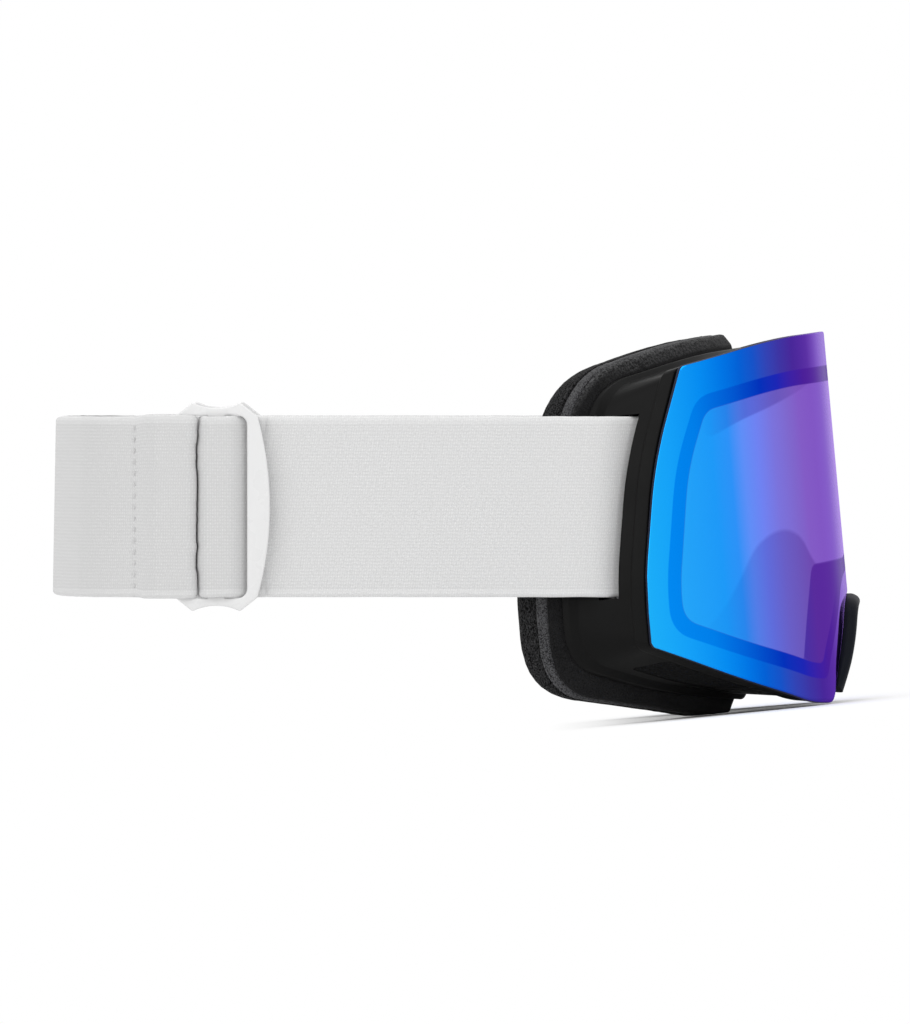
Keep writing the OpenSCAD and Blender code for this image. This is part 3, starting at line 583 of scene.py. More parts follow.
def webbing_material(name, tone):
    """Ribbed knit elastic, laid out by its length and width in units of LAY millimetres."""
    m = Mat(name, Roughness=0.85, Sheen_Weight=0.25, Sheen_Roughness=0.5,
            Specular_IOR_Level=0.2)
    uv = m.node("UVMap", uv_map="lay")
    lay = m.node("SeparateXYZ", {"Vector": uv}).outputs
    wobble = m.noise(m.scaled(uv, 8, 8, 8), 1.0, 2.0)
    rows = m.math("SINE", m.times_add(lay["Y"], 2 * pi * LAY / ROW, m.times(wobble, 2.0)))
    stitches = m.math("SINE", m.times_add(lay["X"], 2 * pi * LAY / LOOP, m.times(rows, 0.9)))
    patch = m.noise(m.scaled(uv, 130, 160, 1), 1.0, 2.0, 0.7)
    knit = m.times(m.times_add(rows, 0.27, m.times(stitches, 0.3)),
                   m.times_add(patch, 1.6, 0.1))
    cloud = m.noise(m.scaled(uv, 6, 6, 6), 1.0, 3.0)
    yarn = m.noise(m.scaled(uv, 160, 220, 1), 1.0, 3.0, 0.7)
    border = m.times(m.math("ABSOLUTE", lay["Y"]), 4.0)
    selvage = m.ramp(border, (0.905, 0.0), (0.917, 1.0))
    # painted shade: a darker line along the groove beside each selvage
    groove_shade = m.ramp(border, (0.895, 0.0), (0.908, 1.0), (0.921, 0.0))
    base = m.mixed(cloud, 219 - tone, 228 - tone)
    base = m.mixed(m.ramp(knit, (0.0, 0.0), (0.5, 1.0)), 209 - tone, base)
    base = m.mixed(m.ramp(yarn, (0.4, 0.0), (0.64, 0.55)), base, 188)
    base = m.mixed(m.times(selvage, 0.2), base, 229)
    m.colour(m.mixed(m.times(groove_shade, 0.16), base, 192))
    m.bump(m.times_add(knit, 0.5, m.times(yarn, 0.6)), 0.00012, 0.55)
    return m.mat


def steel_material(name, dark, light, rough):
    m = Mat(name, Metallic=1.0)
    lines = m.noise(m.scaled(m.coords(), 400, 400, 30), 3.0)
    m.colour(m.mixed(lines, dark, light))
    m.rough(m.ramp(lines, (0.3, rough - 0.08), (0.7, rough + 0.08)))
    m.bump(lines, 0.00002, 0.4)
    return m.mat


LAY, ROW, LOOP = 100, 0.92, 0.66
LENS_FRONT, LENS_BACK, LENS_EDGE, PANE = (
    lens_front_material(), lens_back_material(), lens_edge_material(), pane_material())
BLACK = plastic_material("frame_plastic", 9, 13, 0.42, Specular_IOR_Level=0.1)
CARRIER = plastic_material("carrier_plastic", (24, 24, 26), (30, 30, 32), 0.4)
RUBBER = plastic_material("nose_rubber", (8, 11, 18), (13, 17, 25), 0.5, 1400.0, 0.00004,
                          Specular_IOR_Level=0.06)
WHITE = plastic_material("slide_plastic", 217, 223, 0.28, 700.0, 0.00001,
                         Specular_IOR_Level=0.35, Coat_Weight=0.15, Coat_Roughness=0.12)
SILICONE = plastic_material("grip_silicone", (196, 198, 203), (208, 210, 214), 0.3, 500.0,
                            0.00002, Coat_Weight=0.3, Coat_Roughness=0.2)
GASKET_FOAM = foam_material("gasket_foam", (18, 22, 40), (34, 38, 58), 2200.0, 0.0001)
VENT_FOAM = foam_material("vent_foam", 2, (20, 20, 21), 2200.0, 0.0003, 0.02)
# the last colour is the painted highlight on the foam's upward-facing side
BASE_FOAM = foam_material("base_foam", 5, (32, 32, 33), 4200.0, 0.00015, 0.04, (84, 84, 85))
RIDGE_FOAM = foam_material("ridge_foam", (12, 12, 13), (84, 84, 86), 3400.0, 0.00015, 0.05,
                           (84, 84, 85))
FLEECE = fleece_material()
WEBBING = webbing_material("webbing", 0)
WEBBING_REAR = webbing_material("webbing_rear_knit", 9)
STEEL = steel_material("rod_steel", (150, 150, 154), (190, 190, 194), 0.35)
MAGNET = steel_material("magnet_metal", (180, 180, 184), (214, 214, 218), 0.28)
THREAD = plastic_material("seam_thread", 188, 210, 0.7, 3000.0, 0.00003)


# ---- lens
def span_of(line, u):
    """Lowest and highest place of a closed outline at each width u."""
    low, high = np.full(len(u), np.inf), np.full(len(u), -np.inf)
    for p, q in zip(line, np.roll(line, -1, 0)):
        a, b = sorted((p[0], q[0]))
        hit = (u >= a - 1e-9) & (u <= b + 1e-9)
        if b - a < 1e-9:
            z = np.array([[min(p[1], q[1])], [max(p[1], q[1])]]) * np.ones(hit.sum())
        else:
            z = (p[1] + (q[1] - p[1]) * (u[hit] - p[0]) / (q[0] - p[0])) * np.ones((2, 1))
        low[hit], high[hit] = np.minimum(low[hit], z[0]), np.maximum(high[hit], z[1])
    return low, high


def signed_distance(points, line):
    """Distance inside a closed outline, negative outside it."""
    u, z = points.T
    best, inside = np.full(len(u), np.inf), np.zeros(len(u), bool)
    for p, q in zip(line, np.roll(line, -1, 0)):
        d = q - p
        t = np.clip(((points - p) @ d) / max(d @ d, 1e-12), 0, 1)
        best = np.minimum(best, norm(points - (p + t[:, None] * d), axis=1))
        crosses = (p[1] > z) != (q[1] > z)
        with np.errstate(divide="ignore", invalid="ignore"):
            x = p[0] + (z - p[1]) / (q[1] - p[1]) * d[0]
        inside ^= crosses & (u < x)
    return np.where(inside, best, -best)


def curved_sheet(half, inset, outer, thick, soft, rows):
    """Front and back grids of a pane with a rounded edge between them, and its faces."""
    line = outline(half, inset + soft)
    x = line[:, 0]
    us = np.unique(np.round(np.concatenate([x, np.linspace(x.min(), x.max(), 150)]), 3))
    us = us[np.concatenate([[True], np.diff(us) > 0.12])]
    us[-1] = x.max()
    low, high = span_of(line, us)
    t = np.linspace(0, 1, rows)[:, None]
    n = len(us)
    front = np.stack([(us + 0 * t).ravel(), (low * (1 - t) + high * t).ravel()], 1)
    border = grid_rim(n, rows)
    b = front[border]
    way = np.roll(b, -1, 0) - np.roll(b, 1, 0)
    out = np.stack([way[:, 1], -way[:, 0]], 1)
    out /= np.maximum(norm(out, axis=1), 1e-9)[:, None]
    steps = [(soft * sin(x), soft * (1 - cos(x))) for x in np.radians([24, 48, 70, 90])]
    rear = min(0.2, soft)
    steps += [(soft, thick - rear), (soft - 0.7 * rear, thick - 0.3 * rear)]
    flats = [front] + [b + out * s for s, _ in steps] + [front]
    depths = [0] + [d for _, d in steps] + [thick]
    points = [place(*at.T, LENS_R - outer + d, 0) for at, d in zip(flats, depths)]
    base, k = len(front), len(border)
    back = base + len(steps) * k
    faces = grid_faces(n, rows, back)
    kinds = [0, 1] * (len(faces) // 2)
    loops = ([border] + [range(base + s * k, base + s * k + k) for s in range(len(steps))]
             + [[back + i for i in border]])
    for level, (one, two) in enumerate(zip(loops, loops[1:])):
        faces += [(one[(i + 1) % k], one[i], two[i], two[(i + 1) % k]) for i in range(k)]
        kinds += [0 if level < 2 else 2] * k
    return np.concatenate(points), faces, kinds, np.concatenate(flats)


def two_halves(half):
    """Outline from its right half, which starts on the plane of symmetry."""
    half = np.array(half, float)
    return np.concatenate([half, half[:0:-1] * (-1, 1, 1)])


points, faces, kinds, flats = curved_sheet(LENS, 0, LENS_R, LENS_T, 0.5, 72)
lens = piece("lens", points, faces, [LENS_FRONT, LENS_BACK, LENS_EDGE], "lens", "lens_mirror",
             ["outer_lens"], 40)
for poly, kind in zip(lens.data.polygons, kinds):
    poly.material_index = kind
TURN_END, ZONE_SPAN = radians(65), 20
add_attribute(lens, "turn", np.clip(np.abs(flats[:, 0]) / LENS_R / TURN_END, 0, 1))
opening = drawn_in(whole(BAND), GASKET_IN + GASKET_W)
opening[:, 2] *= 0.7
wide = opening.copy()
# the opening without its nose arch: three corners on each side and the top are moved
for i, (u, z, r) in enumerate([(53.5, 11.6, 2), (49.5, 24, 8), (43.5, 38.9, 3)]):
    wide[8 + i], wide[14 - i] = (u, z, r), (-u, z, r)
wide[11] = (0, 40.2, 8)
hump = two_halves([
    (u, z, 4) for u, z in [(0, 36), (36, 36), (43, 40.5), (47.7, 46.6), (55.5, 49.4), (63.5, 48.6),
                           (71, 45), (75.5, 39.5), (81, 33), (86.6, 27.5), (94, 22), (90, 6)]])
# painted shade: the wedge below the top band, where the gasket's side wall shades the pane
shade_wedge = two_halves([(0, 96, 1), (30, 89.6, 4), (72.7, 80.4, 6), (86, 76, 4), (92, 90, 2)])
for zone, line in (("cover", drawn_in(whole(BAND), GASKET_IN)), ("inner", opening),
                   ("wide", wide), ("hump", hump), ("shade_wedge", shade_wedge)):
    d = signed_distance(flats, rounded(line, [0] * len(line)))
    add_attribute(lens, zone, np.clip(0.5 + d / ZONE_SPAN, 0, 1))

points, faces, kinds, flats = curved_sheet(BAND, GASKET_IN, PANE_R, PANE_T, 0.2, 24)
piece("inner_pane", points, faces, PANE, "lens", "lens_pane", ["inner_lens"], 40)


# ---- rings along the outline
def ring_piece(name, half_at, profile, material, body, slot, replaces, deep_front=None,
               sharp=35, wave=None):
    """A ring whose profile runs round the outline; profile points are (inset, back)."""
    loops = []
    for inset, back in profile:
        line = outline(half_at(back), inset)
        at = (SEAT_T, back) if deep_front is None else (deep_front + back, 0)
        loops.append(place(*line.T, *at))
    n = len(loops[0])
    pts = np.concatenate(loops)
    if wave:
        pts = ripple(pts, *wave)
        pts[:, 2] = np.maximum(pts[:, 2], 0)
    return piece(name, pts, ring_faces(n, len(loops)), material, body, slot, replaces, sharp)


gasket = ring_piece("gasket", lambda b: BAND, filleted([
    (GASKET_IN, 0.05), (GASKET_IN + GASKET_W, 0.05),
    (GASKET_IN + GASKET_W, GASKET_T - 0.05), (GASKET_IN, GASKET_T - 0.05)], 0.5),
    GASKET_FOAM, "lens", "gasket_foam", ["lens_gasket"], LENS_T)

inner = WALL_IN + WALL_T
shell = ring_piece("shell", frame_half, filleted([
    (FRAME_IN, 0), (FRAME_IN + RIM_W, 0), (FRAME_IN + RIM_W, RIM_T),
    (inner, RIM_T + PANEL_SLOPE / 2), (inner, FRAME_D - FLANGE_T - PANEL_SLOPE / 2),
    (FLANGE_W, FRAME_D - FLANGE_T), (FLANGE_W, FRAME_D), (0, FRAME_D),
    (0, FRAME_D - FLANGE_T), (WALL_IN, FRAME_D - FLANGE_T - FLANGE_FILLET),
    (WALL_IN, STRIP_D + PANEL_SLOPE), (FRAME_IN, STRIP_D)], 0.35),
    BLACK, "frame", "frame_plastic", ["frame_shell"])


# ---- cuts in the frame
def soft_box(a0, a1, b0, b1, r0, r1):
    """Rectangle with its corners rounded by r0 at a0 and by r1 at a1."""
    out = []
    for a, b, r, start in ((a1 - r1, b1 - r1, r1, 0), (a0 + r0, b1 - r0, r0, 90),
                           (a0 + r0, b0 + r0, r0, 180), (a1 - r1, b0 + r1, r1, 270)):
        for k in range(6):
            t = radians(start + 18 * k)
            out.append((a + r * cos(t), b + r * sin(t)))
    return out


def vent_line(u0, u1):
    """Edge of a vent in (along the curve, back), with points along its straight sides."""
    out = soft_box(u0, u1, VENT_BACK, VENT_BACK + VENT_D, VENT_R, VENT_R)
    dense = []
    for p, q in zip(out, out[1:] + out[:1]):
        n = max(1, int(abs(q[0] - p[0]) / 2.0))
        dense += [(p[0] + (q[0] - p[0]) * k / n, p[1] + (q[1] - p[1]) * k / n) for k in range(n)]
    return dense


def wall_points(line, out, side):
    """Points over or under the frame's wall for places (u, back)."""
    z = [float((z_top if side > 0 else z_sole)(abs(u), b)) for u, b in line]
    u, b = np.array(line).T
    return place(u, np.array(z) + out, SEAT_T, b)


def prism(top, low):
    return np.concatenate([top, low]), tube_faces(len(top), 2)


def rod_points(p, q, r, sides=40):
    way = unit(q - p)
    x = unit(np.cross(way, [1.0, 0.3, 0.2]))
    y = np.cross(way, x)
    a = np.linspace(0, 2 * pi, sides, endpoint=False)
    ring = r * (np.cos(a)[:, None] * x + np.sin(a)[:, None] * y)
    return prism(p + ring, q + ring)


def on_wall(z, back, inward):
    return place(u_side(z, back), z, SEAT_T, back) - (inward, 0, 0)


def across(z, inset):
    a = float(u_side(z, SLOT_BACK)) / LENS_R
    return inset * cos(a - LEAN * a) / cos(LEAN * a)


SLOT_HALF = STRAP_W / 2 + 0.5
ROD_BACK = SLOT_BACK - 0.4 * ROD_R
BOSS_R = ROD_IN - WALL_T
ROD_ENDS = [on_wall(STRAP_Z + s * (SLOT_HALF + ROD_SEAT), ROD_BACK, ROD_IN) for s in (-1, 1)]
ROD_WAY = unit(ROD_ENDS[1] - ROD_ENDS[0])


def evaluated(ob):
    """Mesh of an object or curve, with its modifiers applied."""
    return bpy.data.meshes.new_from_object(ob.evaluated_get(
        bpy.context.evaluated_depsgraph_get()))


def boolean(target, parts, operation):
    """target cut by, or joined with, a set of parts."""
    tool = outward(linked("tool", mesh_of("tool", *joined(parts))))
    mod = target.modifiers.new("cut", "BOOLEAN")
    mod.operation, mod.solver, mod.object = operation, "EXACT", tool
    made = evaluated(target)
    target.modifiers.remove(mod)
    old, target.data = target.data, made
    bpy.data.meshes.remove(old)
    bpy.data.objects.remove(tool)


TOP_VENTS = [(-VENT_MID, VENT_MID)]
for k in range(2):
    start = VENT_MID + VENT_RIB + k * (VENT_SIDE + VENT_RIB)
    TOP_VENTS += [(start, start + VENT_SIDE), (-start - VENT_SIDE, -start)]
top_vents = [prism(wall_points(line, 4, 1), wall_points(line, -inner - 2, 1))
             for line in (vent_line(*vent) for vent in TOP_VENTS)]
line = vent_line(VENT_LOW, VENT_LOW + VENT_LOW_W)
low_vent = prism(wall_points(line, -4, -1), wall_points(line, inner + 2, -1))
slot_reach = SLOT_HALF - SLOT_EASE
slot_z = np.linspace(STRAP_Z - slot_reach, STRAP_Z + slot_reach, 24)
slot_loop = [(z, SLOT_BACK) for z in slot_z] + [(z, SLOT_BACK + SLOT_W) for z in slot_z[::-1]]
slot = prism(np.array([on_wall(z, b, -4) for z, b in slot_loop]),
             np.array([on_wall(z, b, inner + 1) for z, b in slot_loop]))
bosses = [rod_points(end - way * ROD_WAY * 2.0, end + way * ROD_WAY * 1.4, BOSS_R)
          for end, way in ((ROD_ENDS[1], 1), (ROD_ENDS[0], -1))]
boolean(shell, both(bosses), "UNION")
boolean(shell, top_vents + both([low_vent, slot]), "DIFFERENCE")
boolean(shell, both([rod_points(*ROD_ENDS, ROD_R + 0.05)]), "DIFFERENCE")
shell.data.shade_smooth()
shell.data.set_sharp_from_angle(angle=radians(32))


# ---- vent foam
def vent_pad(u0, u1, side):
    """Foam pad in a vent, its faces uneven as cut foam is."""
    us = np.linspace(u0 + VENT_GAP, u1 - VENT_GAP, max(8, int((u1 - u0) / 0.8)))
    backs = np.linspace(VENT_BACK + VENT_GAP, VENT_BACK + VENT_D - VENT_GAP, 14)
    places = [(u, b) for b in backs for u in us]
    sheets = [wall_points(places, -side * (WALL_IN + depth), side)
              for depth in (VENT_SINK, VENT_SINK + VENT_FOAM_T)]
    return ripple(np.concatenate(sheets), 0.9, 0.16, 3.0), slab_faces(len(us), len(backs))


top_pads = outward(piece("top_vent_pads", *joined([vent_pad(*vent, 1) for vent in TOP_VENTS]),
                         VENT_FOAM, "frame", "vent_foam", ["top_vent_foam"]))
points, faces = vent_pad(VENT_LOW, VENT_LOW + VENT_LOW_W, -1)
for side, turned in SIDES:
    ob = outward(piece("bottom_vent_pad_" + side, turned(points), faces, VENT_FOAM, "frame",
                       "vent_foam", ["bottom_vent_foam_" + side]))


# ---- nose piece
def nose_section(size):
    slope_from = -SEAT_T - STRIP_D + NOSE_GAP
    slope_to = -SEAT_T - STRIP_D - PANEL_SLOPE - NOSE_GAP
    skirt, panel = NOSE_GAP - FRAME_IN, NOSE_GAP - WALL_IN
    return [
        (LIP_IN + 0.65 * LIP_W, LIP_OUT * size), (LIP_IN + LIP_W, LIP_OUT * 0.8 * size),
        (LIP_IN + LIP_W, -LENS_T / 3), (LIP_IN + LIP_W * 0.7, -SEAT_T + NOSE_GAP),
        (skirt + SKIRT_T, -SEAT_T - SKIRT_T), (skirt + SKIRT_T, slope_from),
        (panel + SKIRT_T, slope_to), (panel + SKIRT_T, -SKIRT_D), (panel, -SKIRT_D),
        (panel, slope_to), (skirt, slope_from), (skirt, -SEAT_T),
        (LIP_IN, -SEAT_T + NOSE_GAP), (LIP_IN, 0), (LIP_IN + 0.1, LIP_OUT * 0.4 * size),
        (LIP_IN + 0.3 * LIP_W, LIP_OUT * 0.85 * size)]


def arch_range():
    """Index range of the arch's points on a rounded outline: its corners 9 to 13."""
    sizes = [CURVE + 1 + r for r in RUNS]
    return sum(sizes[:9]), sum(sizes[:13]) + CURVE


first, last = arch_range()
sections = []
for i in range(first, last + 1):
    share = (i - first) / (last - first)
    size = LIP_SIZE * (1 - 0.8 * abs(2 * share - 1) ** 4)
    row = []
    for under, ahead in filleted(nose_section(size), 0.6):
        deep, back = min(-ahead, SEAT_T), max(-ahead - SEAT_T, 0)
        line = edge(back)
        way = unit(line[i + 1] - line[i - 1])
        at = line[i] + np.array([-way[1], way[0]]) * under
        row.append(place(*at, deep, back))
    sections.append(np.array(row))
outward(piece("nose_lip", np.concatenate(sections), tube_faces(len(row), len(sections)),
              RUBBER, "frame", "nose_rubber", ["nose_piece"], 50))


# ---- face foam
base_back = FOAM_FRONT + BASE_T
mid_front = base_back + GLUE
ridge_back = mid_front + RIDGE_T


def foam_ring(name, profile, material, slot, node, wave):
    ob = ring_piece(name, lambda back: FOAM, profile, material, "frame", slot, [node],
                    sharp=60, wave=wave)


foam_ring("foam_base", filleted([
    (3.4, FOAM_FRONT), (5.4, FOAM_FRONT), (8, FOAM_FRONT), (FOAM_W - 1, FOAM_FRONT),
    (FOAM_W, base_back), (10, base_back), (5, base_back), (0, base_back),
    (0, FOAM_FRONT + 2.2)], 0.9), BASE_FOAM, "base_foam", "face_foam_base", (1.1, 0.1, 1.0))


def crown(skin):
    """Crown of the foam from its outer to its inner side, drawn in by a skin."""
    line = smoothed([(0.0, 0.0), (0.03, 0.33), (0.14, 0.66), (0.42, 1.0), (0.94, 0.5)])
    return [(skin + x * (FOAM_W - 2 * skin), ridge_back + GLUE + y * (CROWN_T - skin - GLUE))
            for x, y in line]


skin = FLEECE_T + GLUE
foam_ring("foam_mid", filleted([(0, mid_front), (5, mid_front), (10, mid_front),
                                (FOAM_W, mid_front)], 0.5)[2:]
          + crown(skin)[::-1] + [(skin, ridge_back + GLUE), (0.6, ridge_back + 0.1),
                                 (0, ridge_back - 0.6), (0, mid_front + 0.7)],
          RIDGE_FOAM, "ridge_foam", "face_foam_mid", (1.0, 0.12, 2.0))
foam_ring("foam_fleece", [(FLEECE_T, ridge_back + GLUE)] + crown(FLEECE_T)[1:]
          + [(FOAM_W - 0.2, ridge_back + 0.32 * CROWN_T), (FOAM_W, ridge_back + 0.2 * CROWN_T)]
          + crown(0)[:0:-1] + [(0, ridge_back + GLUE)],
          FLEECE, "fleece", "face_foam_fleece", (1.4, 0.1, 5.0))


# ---- strap
def slot_middle(z):
    return on_wall(z, SLOT_BACK + SLOT_W / 2, across(z, WALL_IN + WALL_T / 2))


STRAP_X = slot_middle(STRAP_Z)[0] + STRAP_SPLAY
UNDER_X = STRAP_T + PLAY
PLATE_X = UNDER_X + STRAP_T / 2 + PLAY
OVER_X = PLATE_X + SLIDE_T + PLAY + STRAP_T / 2
REAR_X = UNDER_X + STRAP_T + 0.1
COS, SIN = cos(RISE), sin(RISE)
HEM_R = (ROD_R + 0.3) / (ROD_WAY[2] * COS - ROD_WAY[1] * SIN) + STRAP_T / 2


def strap_point(x, s, w):
    x, s, w = np.broadcast_arrays(*[np.asarray(v, float) for v in (x, s, w)])
    return np.stack([x, SLOT_Y + s * COS - w * SIN, STRAP_Z + s * SIN + w * COS], -1)


def s_of(p):
    return (p[1] - SLOT_Y) * COS + (p[2] - STRAP_Z) * SIN


def front_line(w):
    """Round the rod, out through the slot and back to the slide, as (x, s)."""
    hole = slot_middle(STRAP_Z + w)
    reach = SLOT_HALF + ROD_SEAT
    share = (w * COS + reach) / (2 * reach)
    axis = ROD_ENDS[0] * (1 - share) + ROD_ENDS[1] * share
    x, s, s_axis = hole[0], s_of(hole), s_of(axis)
    line = [(axis[0] - HEM_R + 0.6, s_axis + 3.4)]
    line += [(axis[0] + HEM_R * cos(a), s_axis + HEM_R * sin(a))
             for a in np.radians(np.arange(180, 361, 18))]
    return line + [
        (max(x - 1.3, axis[0] + HEM_R), max(s, s_axis + 2) - 1.5),
        (max(x, axis[0] + HEM_R) + 1.5, s + 1.4),
        (x * 0.6 + STRAP_X * 0.4 + 1.4, s + 7), (x * 0.2 + STRAP_X * 0.8, s + 22),
        (STRAP_X, s + 42), (STRAP_X, s * 0.3 + SLIDE_S * 0.7), (STRAP_X, SLIDE_S),
        (STRAP_X - TAIL_IN * 0.4, (SLIDE_S + TAIL_END) / 2), (STRAP_X - TAIL_IN, TAIL_END)]


def band_mesh(line_at, edge_wave, seed=0.0, width_at=None, pinch=None):
    """Webbing along a line: two faces, rounded selvages and closed ends, with its lay."""
    half = STRAP_W / 2
    selvage = np.array([0.885, 0.905, 0.925, 0.955, 0.98, 0.995, 1.0])
    ts = np.concatenate([-selvage[::-1], np.linspace(-0.84, 0.84, 30), selvage])
    thick = STRAP_T / 2 * np.interp(np.abs(ts), [0, *selvage],
                                    [0.96, 0.96, 0.89, 0.97, 0.97, 0.85, 0.5, 0.16])
    sheets, lays = ([], []), []
    for t, h in zip(ts, thick):
        line = np.array(line_at(t * half), float)
        way = np.gradient(line, axis=0)
        way /= np.maximum(norm(way, axis=1), 1e-9)[:, None]
        normal = np.stack([way[:, 1], -way[:, 0]], 1)
        length = np.concatenate([[0], np.cumsum(norm(np.diff(line, axis=0), axis=1))])
        w = t * half * (width_at(line) if width_at else 1.0) * np.ones(len(line))
        if abs(t) > 0.9:
            w += np.sign(t) * edge_wave * np.array(
                [noise.noise(Vector((x / 7.0, seed, t))) - 0.6 for x in length])
        lift = normal * np.reshape(h * (pinch(line) if pinch else 1.0), (-1, 1))
        for rows, at in zip(sheets, (line + lift, line - lift)):
            rows.append(strap_point(*at.T, w))
        lays.append(np.stack([length / LAY, np.full(len(line), t * half / LAY)], 1))
    return (np.concatenate(sheets[0] + sheets[1]), slab_faces(len(line), len(ts)),
            np.concatenate(lays * 2))


def webbing_piece(name, made, body, node, material, turned=np.asarray):
    """A band as a piece, with its lay as a UV map for the knit."""
    points, faces, lay = made
    ob = piece(name, turned(points), faces, material, body, "webbing", [node], 60)
    uv = ob.data.uv_layers.new(name="lay")
    loops = np.zeros(len(ob.data.loops), np.int32)
    ob.data.loops.foreach_get("vertex_index", loops)
    uv.data.foreach_set("uv", lay[loops].astype(np.float32).ravel())
    outward(ob)


front = band_mesh(lambda w: smoothed(front_line(w), 2), 0.12)
rise_x = OVER_X - UNDER_X
wrap_front = -BAR_HALF - WINDOW_FRONT
wrap_plan = smoothed([
    (STRAP_X + UNDER_X + a * rise_x, SLIDE_S + b) for a, b in (
        (0, wrap_front - 5), (0, wrap_front - 0.6), (0.06, wrap_front + 0.7),
        (0.5, wrap_front + 2.6), (0.92, wrap_front + 4.3), (1, -BAR_HALF + 0.5),
        (1, BAR_HALF - 0.6), (0.95, BAR_HALF + 0.7), (0.7, BAR_HALF + 1.8),
        (0.3, BAR_HALF + 2.2), (0, BAR_HALF + 2.3))], 2)


def crease(w):
    """Unevenness of the line where wrap and loop meet, across the width."""
    return 0.7 * noise.noise(Vector((w / 9.0, 2.0, 0.0))) + 0.25 * noise.noise(
        Vector((w / 2.5, 7.0, 0.0)))


def wrap_line(w):
    end = np.clip((wrap_plan[:, 1] - SLIDE_S - BAR_HALF) / 2, 0, 1)
    return wrap_plan + np.stack([0 * end, end * crease(w)], 1)


wrap = band_mesh(wrap_line, 0.1, 4.0)
for side, turned in SIDES:
    for end, made, body, material in (("front_", front, "frame", WEBBING),
                                      ("wrap_", wrap, "strap", WEBBING_REAR)):
        webbing_piece("webbing_" + end + side, made, body, "strap_" + end + side, material,
                      turned)

corner_x = STRAP_X + REAR_X - CORNER_R
turn_a = asin(corner_x / (BOW_R - CORNER_R))
corner_s = STRAP_BACK - BOW_R + (BOW_R - CORNER_R) * cos(turn_a)
seam_a = asin((SEAM_S - corner_s) / CORNER_R)
bar_s = SLIDE_S + BAR_HALF + WINDOW_REAR
turn_r, turn_x = (OVER_X - UNDER_X) / 2, STRAP_X + (OVER_X + UNDER_X) / 2


def on_corner(r, a):
    """Place round the rear corner, as (x, s)."""
    return corner_x + r * cos(a), corner_s + r * sin(a)


def rear_half():
    line = [on_corner(CORNER_R - REAR_X + UNDER_X, a)
            for a in (seam_a + radians(7), seam_a / 2, 0)]
    line += [(turn_x - turn_r * cos(a), bar_s - 0.2 + turn_r * sin(a))
             for a in np.radians(-np.linspace(0, 180, 13))]
    line += [on_corner(CORNER_R + (OVER_X - REAR_X) * (1 - share) ** 2, seam_a * share)
             for share in (0, 0.25, 0.5, 0.75)]
    line += [on_corner(CORNER_R, a) for a in np.linspace(seam_a, pi / 2 - turn_a, 16)]
    line += [(BOW_R * sin(a), STRAP_BACK - BOW_R + BOW_R * cos(a))
             for a in turn_a * (1 - np.arange(1, 13) / 12)]
    return np.array(line)


half_line = rear_half()
full_line = smoothed(np.concatenate([half_line, (half_line * (-1, 1))[-2::-1]]), 2)


def loop_width(line):
    """The loop round the slide stands a little wider than the single webbing."""
    s = line[:, 1]
    return 1 + 0.014 * np.clip((SEAM_S - 0.6 - s) / 2, 0, 1) - 0.01 * np.exp(
        -((s - SEAM_S) / 0.8) ** 2)


def seam_pinch(line):
    return 1 - 0.22 * np.exp(-((line[:, 1] - SEAM_S) / 0.5) ** 2)


def rear_line(w):
    """The rear end leans a little, has rounded corners and follows the crease."""
    s = full_line[:, 1]
    end = np.clip((s - 128) / 24, 0, 1)
    end = end * end * (3 - 2 * end)
    front_end = np.clip((bar_s + 1 - s) / 2, 0, 1)
    over = max(abs(w) - STRAP_W / 2 + END_R, 0)
    back = -END_LEAN * w - (END_R - sqrt(END_R ** 2 - over * over))
    return full_line + np.stack([0 * s, end * back + front_end * crease(w)], 1)


webbing_piece("webbing_rear", band_mesh(rear_line, 0.12, 9.0, loop_width, seam_pinch), "strap",
              "strap_rear", WEBBING_REAR)


# ---- stitches
def stitch(centre, out, along, length, r):
    """One sunken stitch as a bent capsule."""
    side = np.cross(out, along)
    rings = []
    for k in range(7):
        t = k / 6 * 2 - 1
        rr = r * sqrt(max(0.06, 1 - abs(t) ** 3))
        mid = centre + along * t * length / 2 + out * (r * 0.9 * (1 - t * t) - r * 0.5)
        rings.append([mid + rr * (cos(a) * out + sin(a) * side)
                      for a in np.linspace(0, 2 * pi, 8, endpoint=False)])
    return np.concatenate(rings), tube_faces(8, 7)


def seam_side():
    parts = []
    out = strap_point(cos(seam_a), sin(seam_a), 0) - strap_point(0, 0, 0)
    up = strap_point(0, 0, 1.0) - strap_point(0, 0, 0)
    for k in range(STITCHES + 1):
        at = strap_point(*on_corner(CORNER_R + STRAP_T / 2 - 0.02, seam_a),
                         (k - STITCHES / 2) * STITCH_PITCH)
        jig = noise.noise(Vector((k * 1.7, 0.3, 0.0)))
        lean = unit(up + 0.16 * jig * np.cross(out, up))
        parts.append(stitch(at, out, lean, 1.5 + 0.4 * jig, 0.2))
    return joined(parts)


points, faces = seam_side()
for side, turned in SIDES:
    outward(piece("stitches_" + side, turned(points), faces, THREAD, "strap", "seam_thread",
                  ["strap_seam_" + side]))


# ---- slide
def bulge_r(half, rise):
    return (half * half + rise * rise) / (2 * rise)


